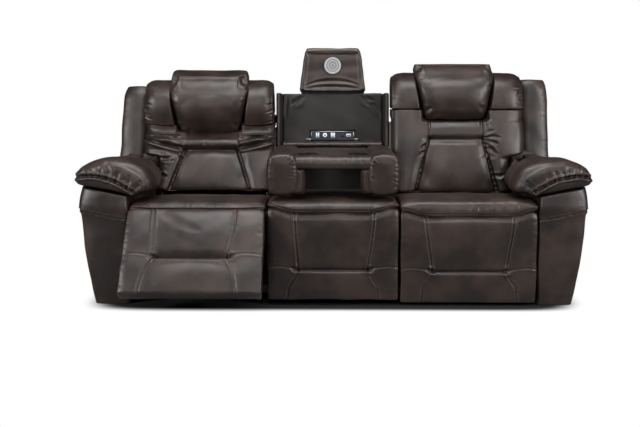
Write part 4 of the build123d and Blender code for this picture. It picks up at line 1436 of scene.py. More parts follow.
@dataclass
class ReclinerBack:
    """The back and headrest of a reclining seat.

    Attributes:
        side: Its name, left or right.
        hand: -1 on the left and +1 on the right.
        recline: Degrees that the back leans at rest.
        tilt: Degrees that the headrest is tilted forward at rest.
        lumbar: The height of the lumbar panel's top.
        seed: The start of its random numbers.
        lean: How far the headrest's cushions sit outwards of the middle.
    """

    side: str
    hand: int
    recline: float
    tilt: float
    lumbar: float
    seed: int
    lean: float = 0.0

    def back_pose(self, points: np.ndarray) -> np.ndarray:
        """Where the back's points stand at rest."""
        return turned(points, BACK_PIVOT, self.recline)

    def head_pose(self, points: np.ndarray) -> np.ndarray:
        """Where the headrest's points stand at rest."""
        return self.back_pose(turned(points, HEAD_PIVOT, -self.tilt))

    def fold_pose(self, points: np.ndarray) -> np.ndarray:
        """Where points between the back and the headrest stand at rest."""
        share = smooth(self.lumbar + FOLD_RISE, HEAD_FOOT, points[:, 2])
        angle = np.radians(-self.tilt * share)
        d, z = points[:, 1] - HEAD_PIVOT[0], points[:, 2] - HEAD_PIVOT[1]
        out = np.array(points)
        out[:, 1] = HEAD_PIVOT[0] + d * np.cos(angle) + z * np.sin(angle)
        out[:, 2] = HEAD_PIVOT[1] + z * np.cos(angle) - d * np.sin(angle)
        return self.back_pose(out)

    def spot(self, u: float, z: float) -> tuple[float, float]:
        """A place on the front, u being the distance outwards from the panel's middle."""
        return self.hand * (BACK_MIDDLE + u), z

    def spots(self, path: Path) -> Path:
        """A path over the front, from places as spot takes them."""
        return [self.spot(u, z) for u, z in path]

    def outer(self, z: float) -> float:
        """The outer edge at a height: the back widens above the arm."""
        return OUTER_LOW + OUTER_RISE * float(smooth(598, 624, z))

    def low_share(self, z: float) -> float:
        """The share of the lumbar panel that is below a height."""
        return min((z - BACK_FOOT) / (self.lumbar - BACK_FOOT), 1.0)

    def half(self, z: float) -> float:
        """Half the width of the middle panel at a height."""
        above = 5 * max(0.0, (z - self.lumbar) / 140)
        return PANEL_HALF - PANEL_TAPER * self.low_share(z) - above

    def face(self, x: np.ndarray, z: float) -> np.ndarray:
        """Depth of the front at places across a height."""
        joint = self.lumbar
        base = FACE_FOOT + (FACE_JOINT - FACE_FOOT) * self.low_share(z)
        if z > joint:
            base = FACE_JOINT + (FACE_FOLD - FACE_JOINT) * (z - joint) / (836 - joint)
            if self.tilt:
                base -= 14 * math.sin(math.pi * min((z - joint) / 70, 1.0))
        u = np.abs(x - BACK_MIDDLE)
        edge = np.where(x < BACK_MIDDLE, BACK_MIDDLE - BACK_INNER, self.outer(z) - BACK_MIDDLE)
        half = self.half(z)
        valley = VALLEY
        if z >= joint:
            valley = VALLEY - VALLEY_RISE * float(smooth(joint, joint + 26, z))
        t = (u - half) / (edge - half)
        side = valley * arc(1 - t / INNER_ROLL) + outer_roll(t)
        side = side + EDGE_ROLL * arc((t - EDGE_START) / EDGE_SHARE)
        centre = PANEL_SINK + (valley - PANEL_SINK) * arc(1 - (half - u) / 48)
        centre = centre - 5 * (1 - (u / half) ** 2)
        gap = abs(z - joint)
        centre = centre + 30 * float(arc(np.array(1 - gap / 36))) * smooth(half + 8, half - 16, u)
        if z > joint:
            centre = centre + 16 * float(smooth(joint + 56, joint + 112, z))
        else:
            centre = centre + 6 * float(arc(np.array(1 - (z - BACK_FOOT) / 40)))
        return base + np.where(u > half, side, centre)

    def ring(self, z: float, rear: float) -> np.ndarray:
        """Plan of a cushion at a height, as (x, depth)."""
        high = self.outer(z)
        xs = np.concatenate(
            [
                [301, 303, 307, 313], np.arange(320, high - 16, 7.0),
                [high - 13, high - 7, high - 3, high - 1],
            ]
        )
        front = list(zip(xs, self.face(xs, z)))
        back = [
            (high, rear - 34), (high, rear - 12), (high - 6, rear - 2), (high - 60, rear),
            (760, rear), (620, rear), (480, rear), (360, rear), (306, rear - 2), (300, rear - 12),
            (300, rear - 34),
        ]
        out = np.array(front + back)
        out[:, 0] *= self.hand
        return out

    def build(self, tailor: Tailor) -> None:
        """Makes the back's and the headrest's pieces."""
        self._front()
        self._head(tailor)
        self._pillow()
        self._wing()
        self._outside()

    def _front(self) -> None:
        """The back cushion with the band below the headrest, posed bent between the two at rest."""
        stations = []
        for z in np.linspace(431.0, FOLD_TOP, 52):
            rear = rear_line(z) - 1 if z < 780 else min(rear_line(z) - 1 + 5 * (z - 780), 812)
            stations.append((z, self.ring(z, rear)))
        shell = Shell.stacked(Axis.HEIGHT, stations, 8.5, (10, 2)).refined()
        spots, h, top = self.spots, self.hand, self.lumbar
        p = shell.points
        inside = 158 - np.abs(p[:, 0] - h * (BACK_MIDDLE + 2 * self.lean))
        share = smooth(-16, 10, inside) * smooth(776, 802, p[:, 2]) * (p[:, 1] < 722)
        p[:, 1] += (722 - p[:, 1]) * share
        fields: list[Field] = [
            Crown(self.spot(0, (BACK_FOOT + top) / 2), (165, (top - BACK_FOOT) / 2), 8),
            Slack(1.5, 130, self.seed),
        ]
        for s in (-1, 1):
            seam = [(202, 436), (self.half(520), 520), (self.half(600), 600), (137, top - 4)]
            fields.append(Groove(spots([(s * u, z) for u, z in seam]), 5.0, 7.0, 0.25))
        if self.tilt:
            seams = [
                [(146, 650), (200, 658), (262, 676), (343, 708)],
                [(-140, 652), (-200, 658), (-262, 674), (-318, 696)],
            ]
            fields += [Groove(spots(seam), 8.0, 17.0, 0.45, (0.08, 0.0)) for seam in seams]
            deep = [
                [(160, 700), (240, 716), (343, 730)], [(150, 742), (250, 740), (343, 760)],
                [(-136, 694), (-220, 712), (-318, 716)], [(-140, 730), (-230, 728), (-318, 744)],
            ]
            fields.append(Creases([spots(path) for path in deep], 10.0, 17.0, 0.6))
            fine = [
                [(200, 690), (270, 700), (330, 722)], [(-190, 684), (-250, 698), (-312, 704)],
                [(190, 600), (235, 597), (268, 604)], [(182, 580), (230, 588), (264, 582)],
                [(210, 500), (240, 506), (262, 498)],
            ]
            fields.append(Creases([spots(path) for path in fine], 6.0, 7.0, 0.6))
            fields.append(
                Gathers(spots([(-60, 668), (60, 668)]), 24, 24, 2.0, 0, 0.0, self.seed + 7, 6.0)
            )
        else:
            for s in (-1, 1):
                fields.append(
                    Groove(spots([(s * 136, 692), (s * 132, 760), (s * 131, 832)]), 5.0, 6.0, 0.3)
                )
            marks = [
                [(138, 712), (165, 730), (196, 738)], [(138, 702), (186, 706), (228, 700)],
                [(136, 722), (152, 746), (160, 772)], [(138, 690), (176, 682), (214, 668)],
                [(140, 678), (164, 662), (184, 640)], [(146, 652), (176, 640), (204, 618)],
                [(184, 520), (212, 512), (240, 520)], [(-142, 668), (-160, 660), (-180, 640)],
                [(-150, 642), (-166, 630), (-182, 612)],
            ]
            fields.append(Creases([spots(path) for path in marks], 6.0, 4.8, 0.7))
            seam = spots([(150, 660), (196, 470)])
            fields.append(Gathers(seam, 28, 34, 1.1, -h, 0.1, self.seed + 1, 6.0))
        shell.push(*fields)
        side = self.side
        piece = upholstered(
            f"{side}_back.cover", shell, self.fold_pose, body=None,
            replaces=[f"{side}_back_cushion", f"{side}_fold_roll"],
        )
        start = self.back_pose(np.array([[0.0, 690.0, self.lumbar + FOLD_RISE]]))
        end = self.head_pose(np.array([[0.0, 735.0, HEAD_FOOT]]))
        start, end = to_row(np.concatenate([start, end]))
        tuple(start)
        tuple(end)
        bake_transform(piece)

    def _head(self, tailor: Tailor) -> None:
        """The upholstered block behind the pillow."""
        h = self.hand
        profile = np.array(
            [
                (652, 840), (646, 842), (643, 850), (645, 880), (651, 916), (664, 952), (686, 984),
                (716, 1006), (750, 1018), (786, 1024), (822, 1024), (850, 1014), (866, 988),
                (871, 940), (870, 890), (862, 850), (854, 841), (836, 840), (780, 840), (700, 840),
                (668, 840),
            ],
            float,
        )
        stations = []
        for x, trim in (
            (300, 26), (312, 12), (330, 3), (350, 0), (400, 0), (480, 0), (620, 0), (760, 0),
            (830, 0), (880, 0), (920, 0), (938, 4), (954, 13), (965, 27),
        ):
            ring = profile.copy()
            ring[:, 1] -= np.where(ring[:, 1] > 900, trim, 0)
            ring[:, 0] += np.where(ring[:, 0] < 760, 0.35 * trim, 0)
            u = abs(x - BACK_MIDDLE)
            edge = BACK_MIDDLE - BACK_INNER if x < BACK_MIDDLE else HEAD_OUTER - BACK_MIDDLE
            t = (u - 131) / (edge - 131)
            ring[:, 0] += np.where(ring[:, 0] < 730, outer_roll(t), 0)
            stations.append((h * (x + self.lean), ring))
        stations.sort(key=lambda s: s[0])
        shell = Shell.stacked(Axis.X, stations, 8.5, (9, 9)).refined()
        p = shell.points
        flat = np.clip((p[:, 2] - 780) / 300, 0, 1)
        inside = 166 + 42 * flat - np.abs(p[:, 0] - h * (BACK_MIDDLE + 2 * self.lean))
        share = smooth(-9, 12, inside) * (p[:, 1] < 748)
        p[:, 1] += (748 - p[:, 1]) * share
        shell.push(
            Slack(1.5, 120, self.seed + 10),
            Gathers(
                [(h * (962 + self.lean), 852), (h * (962 + self.lean), 984)], 18, 40, 5.6, h, 0.0,
                self.seed + 11, 5.2,
            ),
            Gathers(
                [(h * 306, 852), (h * 306, 984)], 19, 40, 5.2 if self.tilt else 1.0, -h, 0.0,
                self.seed + 12, 5.6,
            ),
        )
        upholstered(
            f"{self.side}_head_cushion.cover", shell, self.head_pose,
            replaces=[f"{self.side}_head_cushion"], body=f"{self.side}_headrest",
        )
        lines = []
        for x0, x1 in ((306, 448), (796, 960)):
            path = np.array([(h * x, 850.0) for x in np.linspace(x0, x1, 12)])
            lines.append(shell.traced(path, 0.3))
        tailor.stitch(
            f"{self.side}_head_cushion.stitches", lines, self.head_pose, f"{self.side}_headrest"
        )

    def _pillow(self) -> None:
        """The hanging headrest pillow."""
        m = self.hand * (BACK_MIDDLE + 2 * self.lean)
        rows = (
            (790, 136, 668, 716), (797, 149, 650, 734), (814, 158, 638, 740), (860, 168, 629, 742),
            (910, 178, 629, 743), (960, 188, 641, 745), (995, 196, 661, 747), (1018, 201, 684, 780),
            (1036, 203, 702, 846), (1054, 200, 726, 856), (1065, 195, 752, 854),
            (1071, 184, 788, 846),
        )
        stations = []
        for z, half, front, rear in rows:
            depth = rear - front
            ring = [
                (0, front), (0.3 * half, front + 0.5), (0.55 * half, front + 2),
                (0.74 * half, front + 0.06 * depth), (0.88 * half, front + 0.15 * depth),
                (0.965 * half, front + 0.3 * depth), (half, front + 0.52 * depth),
                (0.98 * half, rear - 0.16 * depth), (0.88 * half, rear - 2), (0.6 * half, rear),
                (0, rear),
            ]
            ring += [(-x, d) for x, d in ring[-2:0:-1]]
            stations.append(station(z, [(m + x, d) for x, d in ring]))
        shell = Shell.stacked(Axis.HEIGHT, stations, 7.5, (8, 7)).refined()
        sides = [[(m + s * 192, 1034), (m + s * 184, 1000), (m + s * 176, 950)] for s in (-1, 1)]
        corners = [[(m + s * 204, 1034), (m + s * 186, 1046), (m + s * 160, 1072)] for s in (-1, 1)]
        soft = [
            [(m - 120, 850), (m - 150, 830), (m - 158, 812)],
            [(m + 118, 862), (m + 146, 836), (m + 150, 812)],
            [(m - 90, 828), (m - 104, 812), (m - 110, 800)],
        ]
        shell.push(
            Slack(1.3, 130, self.seed + 20), Crown((m, 905), (150, 96), 9),
            Gathers(sides[0], 26, 34, 2.2, 1, 0.2, self.seed + 21, 6.0),
            Gathers(sides[1], 26, 34, 2.2, -1, 0.2, self.seed + 22, 6.0),
            Creases(corners, 9.0, 15.0, 0.5), Creases(soft, 9.0, 3.2, 0.6),
            Gathers(
                [(m - 120, 798), (m, 795), (m + 120, 798)], 30, 24, 1.4, 1, 0.0, self.seed + 23, 6.0
            ),
        )
        upholstered(
            f"{self.side}_head_pillow.cover", shell, self.head_pose,
            replaces=[f"{self.side}_head_pillow"], body=f"{self.side}_headrest",
        )

    def _wing(self) -> None:
        """The upright bolster beside the back."""
        h = self.hand
        top = 1004 if self.tilt else 991
        rows = (
            (446, 8, 14), (480, 0, 0), (620, 0, 0), (760, 1, 0), (910, 3, -2), (top - 35, 7, 0),
            (top - 15, 13, 6), (top, 26, 20),
        )
        stations = []
        for z, trim, pull in rows:
            slant = 0.17 * (z - BACK_FOOT)
            front, rear = 702 + slant + pull, 800 + slant - 0.4 * pull
            low, high = 978.0 if self.tilt else 972.0, 1122.0 - trim
            width = high - low
            ring = [
                (low, front + 44), (low + 0.06 * width, front + 20),
                (low + 0.22 * width, front + 5), (low + 0.45 * width, front - 1),
                (low + 0.72 * width, front + 1), (low + 0.9 * width, front + 8),
                (low + 0.985 * width, front + 20), (high, front + 40), (high, rear - 12),
                (high - 12, rear), ((low + high) / 2, rear + 2), (low + 12, rear), (low, rear - 12),
            ]
            stations.append(station(z, ring, h))
        shell = Shell.stacked(Axis.HEIGHT, stations, 9.0, (10, 14)).refined()
        shell.push(
            Slack(1.4, 130, self.seed + 30),
            Gathers(
                [(h * 1106, 500), (h * 1102, 930)], 38, 26, 0.7 if self.tilt else 1.5, h, 0.0,
                self.seed + 31, 7.0,
            ),
        )
        upholstered(
            f"{self.side}_wing.cover", shell, self.back_pose,
            replaces=[f"{self.side}_back_cover"], body=f"{self.side}_back",
        )

    def _outside(self) -> None:
        """The upholstered outside back."""
        h = self.hand
        rows = []
        for z in (345, 360, 398, 408, 420, 442, 452, 500, 556, 564, 640, 720, 765, 776):
            outer = OUTER_LOW if z < 560 else HEAD_OUTER
            far = 925 if 400 < z < 450 else outer
            far = far if z < 560 else (976 if self.tilt else 970)
            front, rear = rear_line(z) + (31 if z < 760 else 42), rear_line(z) + 86
            ring = [
                (300, front), (460, front), (620, front), (780, front), (outer, front),
                (outer, front + 18), (far, front + 34), (far, rear - 6), (far - 8, rear),
                (780, rear + 1), (620, rear + 1), (460, rear + 1), (308, rear), (300, rear - 6),
                (300, front + 25),
            ]
            rows.append(station(z, ring, h))
        shell = Shell.stacked(Axis.HEIGHT, rows, 13.0, (5, 8)).refined()
        shell.push(
            Slack(1.0, 200, self.seed + 40),
            Groove([(h * 302, 560), (h * 886, 560)], 3, 2.5, 0.3, side=Side.REAR),
        )
        upholstered(
            f"{self.side}_outside_back.cover", shell, self.back_pose,
            body=f"{self.side}_back",
        )


# ---------------------------------------------------------------- arms
def arm_shelf(x: np.ndarray | float) -> np.ndarray | float:
    """The height of the slope that an arm's pad rests on, at a distance from the middle."""
    (x0, z0), (x1, z1) = ARM_SHELF_INNER, ARM_SHELF_OUTER
    return z0 + (z1 - z0) / (x1 - x0) * (x - x0)


@dataclass
class Arm:
    """An arm: its cover and its pillow pad.

    Attributes:
        side: Its name, left or right.
        hand: -1 on the left and +1 on the right.
        seed: The start of its random numbers.
    """

    side: str
    hand: int
    seed: int

    def build(self, tailor: Tailor) -> None:
        """Makes both pieces."""
        self._cover(tailor)
        self._pad()

    def _cover(self, tailor: Tailor) -> None:
        """The body of the arm with the collar seam."""
        h = self.hand
        rows = (
            (1, 900, 1056, 17, 676, 22), (70, 900, 1070, 10, 680, 26), (140, 899, 1083, 4, 684, 30),
            (300, 898, 1102, 0, 688, 32), (396, 897, 1110, 0, 690, 34),
            (406, 897, 1111, -2, 690, 34), (420, 897, 1115, -8, 690, 36),
            (470, 898, 1114, -4, 690, 38), (530, 902, 1104, 12, 688, 40),
        )
        stations = []
        for z, inner, outer, front, rear, rounding in rows:
            ring = [
                (inner, front + 26), (inner + 2, front + 10), (inner + 10, front + 2),
                (inner + 40, front - 2), (0.5 * (inner + outer), front - 4),
                (outer - 1.3 * rounding - 24, front - 2), (outer - rounding, front + 4),
                (outer - 0.35 * rounding, front + 0.4 * rounding), (outer, front + 1.3 * rounding),
                (outer, front + 1.3 * rounding + 60), (outer, 300), (outer, 500),
                (outer, rear - 20), (outer - 3, rear - 3), (outer - 20, rear),
                ((inner + outer) / 2, rear), (inner + 20, rear), (inner + 3, rear - 3),
                (inner, rear - 20), (inner, 500), (inner, 300), (inner, front + 90),
            ]
            stations.append(station(z, ring, h))
        shell = Shell.stacked(Axis.HEIGHT, stations, 11.0, (2, 4)).refined()
        p = shell.points
        limit = arm_shelf(np.abs(p[:, 0])) - 3
        over = p[:, 2] > limit
        p[over, 2] = limit[over]
        collar = [(h * 898, 382), (h * 960, 392), (h * 1030, 407), (h * 1112, 424)]
        shell.push(
            Slack(1.2, 150, self.seed),
            Groove(collar, 3.6, 4.2, 0.6),
            Gathers(collar, 30, 22, 1.6, 0, 0.1, self.seed + 4, 6.0),
        )
        upholstered(
            f"{self.side}_arm_cover.cover", shell, replaces=[f"{self.side}_arm_cover"]
        )
        line = beside(collar, 0, 8)
        tailor.stitch(f"{self.side}_arm_cover.stitches", [shell.traced(line, 0.3)], at_rest, "base")

    def _pad(self) -> None:
        """The arm's pillow with gathers along its front seam."""
        h = self.hand
        rows = (
            (4, 24, 842, 34, 13), (12, 13, 820, 15, 8), (28, 5, 800, 3, 3), (70, 0, 785, -6, 0),
            (180, 0, 792, 0, 0), (300, 0, 807, 8, 0), (420, 1, 830, 16, 0), (490, 2, 852, 22, 0),
            (538, 4, 889, 24, 0), (600, 6, 892, 28, 0), (676, 8, 896, 36, 2), (692, 20, 906, 52, 8),
        )
        stations = []
        for d, outer_trim, inner, top_trim, low_trim in rows:
            wide = inner < 888
            chin_x = max(880.0, inner + 60) if wide else inner + 20
            chin_z = arm_shelf(chin_x) + low_trim
            heel_x = 1086 - outer_trim
            heel_z = arm_shelf(heel_x) + low_trim
            nose_z = 522 + (38 * float(smooth(840, 892, inner)))
            out = 1131 - outer_trim
            top_z = 640 - top_trim
            ring = [
                (out, 558), (out - 10, 588 - 0.6 * top_trim), (out - 40, 614 - 0.8 * top_trim),
                (out - 100, 634 - top_trim), (0.5 * (1132 + inner) + 20, top_z),
                (0.5 * (1132 + inner) - 40, 634 - top_trim),
                (inner + 78, (619 if wide else 626) - top_trim),
                (inner + 38, (596 if wide else 606) - 0.85 * top_trim), (inner + 12, nose_z + 38),
                (inner + 1, nose_z + 10), (inner + 4, nose_z - 14),
                (inner + 0.42 * (chin_x - inner), nose_z - 0.66 * (nose_z - chin_z)),
                (chin_x - 12, chin_z + 5), (chin_x + 14, chin_z + 1),
                (0.5 * (chin_x + heel_x), 0.5 * (chin_z + heel_z) + 1), (heel_x - 12, heel_z),
                (heel_x + 16, heel_z + 7), (out - 8, 538),
            ]
            stations.append(station(d, ring, h))
        shell = Shell.stacked(Axis.DEPTH, stations, 9.0, (8, 12), domes=(7, 2)).refined()
        seam = [
            (h * 868, 500), (h * 905, 524), (h * 955, 551), (h * 1010, 567), (h * 1064, 573),
            (h * 1124, 566),
        ]
        folds = [
            [(h * 838, 560), (h * 842, 530), (h * 852, 508)],
            [(h * 858, 548), (h * 858, 528), (h * 864, 512)],
        ]
        shell.push(
            Slack(1.7, 130, self.seed + 1),
            Gathers(seam, 22, 54, 7.5, h, 0.1, self.seed + 2, 6.5),
            Gathers(seam, 30, 16, 1.2, -h, 0.1, self.seed + 3, 5.5),
            Groove(seam, 5.5, 8.0, 0.6),
            Creases(folds, 7.0, 5.0, 0.6),
        )
        upholstered(
            f"{self.side}_arm_pad.cover", shell, replaces=[f"{self.side}_arm_pad"]
        )


# ---------------------------------------------------------------- console, surround and flap
def rounded_box(
    x0: float, x1: float, z0: float, z1: float, bulge: float, corner: float
) -> np.ndarray:
    """A front section with crowned sides and rounded corners, as (x, height)."""
    mx, mz = (x0 + x1) / 2, (z0 + z1) / 2
    c, b = corner, bulge
    return np.array(
        [
            (x0 + b, z0 + c + b), (x0 + b + 0.3 * c, z0 + b + 0.3 * c), (x0 + c + b, z0 + b),
            (mx, z0), (x1 - c - b, z0 + b), (x1 - b - 0.3 * c, z0 + b + 0.3 * c),
            (x1 - b, z0 + c + b), (x1, mz), (x1 - b, z1 - c - b),
            (x1 - b - 0.3 * c, z1 - b - 0.3 * c), (x1 - c - b, z1 - b), (mx, z1),
            (x0 + c + b, z1 - b), (x0 + b + 0.3 * c, z1 - b - 0.3 * c), (x0 + b, z1 - c - b),
            (x0, mz),
        ]
    )


@dataclass
class Console:
    """The middle back, folded down as a table.

    Attributes:
        seed: The start of its random numbers.
    """

    seed: int

    def build(self) -> None:
        """Makes the bolsters, the cheeks and the table."""
        for hand, name in ((-1, "left"), (1, "right")):
            stations = []
            for d, x0, x1, z0, z1 in (
                (26, 166, 286, 494, 656), (40, 158, 291, 484, 665), (80, 156, 292, 481, 668),
                (320, 160, 290, 486, 668), (560, 160, 290, 488, 667), (600, 162, 288, 492, 660),
            ):
                low, high = sorted((hand * x0, hand * x1))
                stations.append((float(d), rounded_box(low, high, z0, z1, 4, 30)))
            shell = Shell.stacked(Axis.DEPTH, stations, 7.5, (24, 8), domes=(5, 1)).refined()
            inner = [(hand * 172, 560), (hand * 170, 610), (hand * 178, 648), (hand * 200, 660)]
            outer = [(hand * 283, 500), (hand * 284, 640)]
            shell.push(
                Slack(1.5, 90, self.seed + hand),
                Gathers(
                    inner, 15, 28, 2.6 if hand < 0 else 1.6, -hand, 0.0, self.seed + 5 + hand, 4.6
                ),
                Gathers(
                    outer, 15, 28, 2.6 if hand > 0 else 1.0, hand, 0.1, self.seed + 2 + hand, 4.6
                ),
            )
            upholstered(
                f"console_{name}_bolster.cover", shell,
                replaces=["console_cushion"] if hand < 0 else (), body="console",
            )
            cheek = []
            for d, x0, z0, z1 in (
                (38, 142, 500, 590), (48, 131, 490, 602), (96, 129, 488, 604), (112, 142, 500, 594)
            ):
                low, high = sorted((hand * x0, hand * 196))
                cheek.append((float(d), rounded_box(low, high, z0, z1, 2, 16)))
            upholstered(
                f"console_{name}_cheek.cover",
                Shell.stacked(Axis.DEPTH, cheek, 7.0, (8, 6)).refined(), body="console",
            )
        profile = np.array(
            [
                (624, 648), (500, 649), (300, 649), (160, 649), (112, 652), (86, 658), (66, 658),
                (48, 650), (37, 636), (34, 618), (39, 604), (51, 599), (60, 603), (62, 613),
                (64, 624), (76, 628), (150, 628), (300, 628), (500, 628), (624, 628),
            ]
        )
        rings = [(float(x), profile) for x in (-171, -90, 0, 90, 171)]
        shell = Shell.stacked(Axis.X, rings, 8.0, (3, 3)).refined()
        shell.push(
            Slack(0.8, 110, self.seed + 9),
            Gathers([(-150, 646), (150, 646)], 34, 30, 1.6, -1, 0.1, self.seed + 10, 6.0),
        )
        table = upholstered("console_table.cover", shell, body="console")
        self._cut_cups(table)

    def _cut_cups(self, table: bpy.types.Object) -> None:
        """Cuts the table's cover around the cup holders."""
        for x in (-CUP_PLACE[0], CUP_PLACE[0]):
            place = to_row(np.array([[x, *CUP_PLACE[1:]]]))[0]
            bpy.ops.mesh.primitive_cylinder_add(
                vertices=64, radius=CUP_HOLE, depth=0.2, location=tuple(place)
            )
            cutter = bpy.context.object
            cut = table.modifiers.new("cup", "BOOLEAN")
            cut.operation, cut.object, cut.solver = "DIFFERENCE", cutter, "EXACT"
            cut.use_self = True
            done = applied(table)
            table.modifiers.clear()
            table.data = done
            bpy.data.objects.remove(cutter)


@dataclass
class Surround:
    """The fixed panel behind the console with its side flanges, roll and flap.

    Attributes:
        seed: The start of its random numbers.
    """

    seed: int

    def build(self, tailor: Tailor) -> None:
        """Makes the panel, flanges, roll, outlet details and flap."""
        ring = [
            (-262, 826), (-258, 821), (-240, 820), (-120, 820), (0, 820), (120, 820), (240, 820),
            (258, 821), (262, 826), (262, 850), (262, 864), (240, 868), (120, 868), (0, 868),
            (-120, 868), (-240, 868), (-262, 864), (-262, 850),
        ]
        stations = [station(z, ring) for z in SURROUND_HEIGHTS]
        shell = Shell.stacked(Axis.HEIGHT, stations, 8.0, (4, 6)).refined()
        folds = [
            [(-146, 910), (-170, 884), (-204, 846)], [(-158, 914), (-190, 884), (-226, 856)],
            [(146, 910), (172, 884), (196, 850)], [(168, 914), (206, 872), (240, 820), (252, 780)],
            [(-236, 900), (-246, 850), (-248, 790)], [(176, 912), (196, 894), (222, 880)],
        ]
        shell.push(Slack(1.3, 130, self.seed), Creases(folds, 7.0, 4.2, 0.7))
        p = shell.points
        cavity = (np.abs(p[:, 0]) < 118) & (p[:, 2] > 668) & (p[:, 2] < 726) & (p[:, 1] < 840)
        p[cavity, 1] = np.maximum(p[cavity, 1], 837)
        upholstered(
            "surround_panel.cover", shell, leaned, finish=Finish.LINING,
            replaces=["surround_cover"],
        )
        for hand, name in ((-1, "left"), (1, "right")):
            ring = [
                (263, 806), (268, 786), (275, 772), (284, 767), (291, 772), (295, 784), (295, 820),
                (295, 862), (290, 868), (267, 868), (263, 862), (263, 830),
            ]
            stations = [station(z, ring, hand) for z in SURROUND_HEIGHTS]
            shell = Shell.stacked(Axis.HEIGHT, stations, 8.0, (4, 8)).refined()
            upholstered(
                f"surround_{name}_flange.cover", shell, leaned, finish=Finish.LINING
            )
            line = np.array([(hand * 285, 765.6, z) for z in np.linspace(642, 916, 40)])
            tailor.pipe(f"surround_{name}_flange.piping", [line], leaned, "base", 3.2)
        roll = np.array(
            [
                (812, 627), (790, 629), (775, 636), (767, 648), (773, 660), (790, 668), (812, 670),
                (822, 667), (823, 648), (822, 630),
            ]
        )
        shell = Shell.stacked(
            Axis.X, [(float(x), roll) for x in (-261, -130, 0, 130, 261)], 7.0, (5, 5)
        ).refined()
        shell.push(
            Slack(1.0, 90, self.seed + 3),
            Gathers([(-250, 662), (250, 662)], 40, 22, 1.8, -1, 0.1, self.seed + 6, 6.0),
        )
        upholstered("surround_roll.cover", shell, leaned)
        bridge = rounded_ring(824, 856, 912, 937, 9)
        shell = Shell.stacked(
            Axis.X, [(float(x), bridge) for x in (-166, -80, 0, 80, 166)], 7.0, (6, 6)
        ).refined()
        upholstered("surround_bridge.cover", shell, leaned, finish=Finish.LINING)
        self._outlets()
        self._flap(tailor)

    def _outlets(self) -> None:
        """The frame and the sockets of the outlet strip."""
        bars = [
            (-112, 112, 718.6, 721.4, 1.6), (-112, -109.6, 679, 721, 1.6),
            (109.6, 112, 679, 721, 1.6),
        ]
        parts = [block_mesh(x0, x1, 814.0 - t, 815.0, z0, z1) for x0, x1, z0, z1, t in bars]
        parts += [block_mesh(h * 112.5, h * 141.0, 812.6, 814.0, 677, 682) for h in (-1, 1)]
        hardware("outlet_frame", parts, leaned, Finish.BRIGHT_STEEL, "base")
        whites = [(-88, -70, 688, 714), (-9, 13, 688, 714), (72, 97, 693, 708)]
        parts = [block_mesh(x0, x1, 815.6, 817.6, z0, z1) for x0, x1, z0, z1 in whites]
        parts.append(disc_mesh(-40, 701, 11.5, 815.4, 817.9))
        hardware("outlet_sockets", parts, leaned, Finish.WHITE_PLASTIC, "base")
        slots = [
            block_mesh(x - 2.2, x + 2.2, 814.9, 816.2, z - 4, z + 4)
            for x in (-79, 2) for z in (694, 708)
        ]
        slots += [
            block_mesh(76, 93, 814.9, 816.2, 698, 703), disc_mesh(-40, 701, 4.2, 814.9, 816.0)
        ]
        slots += [block_mesh(47, 57, 815.2, 817.6, 690, 712)]
        hardware("outlet_slots", slots, leaned, Finish.BLACK_PLASTIC, "base")

    def _flap(self, tailor: Tailor) -> None:
        """The raised headrest flap with its gussets and lamp recess."""
        stations = []
        for z, half, front, rear in (
            (929, 166, 816, 838), (936, 170, 808, 842), (960, 170, 806, 846), (1000, 166, 806, 846),
            (1060, 159, 806, 846), (1120, 150, 806, 846), (1146, 143, 808, 845),
            (1158, 132, 814, 841),
        ):
            ring = [
                (-half + 3, front + 6), (-half + 12, front + 1), (-half + 40, front),
                (-half * 0.4, front), (0, front), (half * 0.4, front), (half - 40, front),
                (half - 12, front + 1), (half - 3, front + 6), (half, front + 18),
                (half - 1, rear - 8), (half - 10, rear), (half * 0.5, rear + 1), (0, rear + 1),
                (-half * 0.5, rear + 1), (-half + 10, rear), (-half + 1, rear - 8),
                (-half, front + 18),
            ]
            stations.append(station(z, ring))
        shell = Shell.stacked(Axis.HEIGHT, stations, 6.5, (4, 8)).refined()
        arcs = [
            [(-144, 962), (-80, 980), (0, 986), (80, 980), (144, 962)],
            [(-138, 944), (-80, 952), (0, 955), (80, 952), (138, 944)],
        ]
        inner = [
            (-146, 944), (-141, 1040), (-130, 1122), (-112, 1134), (0, 1138), (112, 1134),
            (130, 1122), (141, 1040), (146, 944),
        ]
        p = shell.points
        r = np.hypot(p[:, 0], p[:, 2] - 1066)
        front = p[:, 1] < 826
        edge = np.minimum.reduce([
            148 - 0.09 * (p[:, 2] - 944) - np.abs(p[:, 0]), 1136 - p[:, 2], p[:, 2] - 936,
        ])
        p[:, 1] += np.where(front, 7.0 * smooth(0, 9, edge), 0)
        shell.push(
            Slack(1.1, 100, self.seed + 4),
            Creases(arcs, 6.0, 3.4, 0.8),
            Groove(inner, 3.0, 2.5, 0.4),
            Gathers([(-146, 944), (146, 944)], 26, 20, 1.6, 1, 0.0, self.seed + 5, 5.0),
        )
        recess = (r > 33) & (r < 47) & (p[:, 1] < 822)
        p[recess, 1] = np.minimum(p[recess, 1], 809)
        upholstered("lamp_flap.cover", shell, leaned, replaces=["lamp_flap"], body="flap")
        path = spline([(x * 0.955, z) for x, z in inner], 8)
        tailor.stitch("lamp_flap.stitches", [shell.traced(path, 0.3)], leaned, "flap")
        rings = [
            ring_mesh(0, 1066, 22.0, 27.0, 803.4, 804.7),
            ring_mesh(0, 1066, 8.5, 11.5, 803.7, 804.7),
        ]
        hardware("lamp_rings", rings, leaned, Finish.LAMP_METAL, "lens")


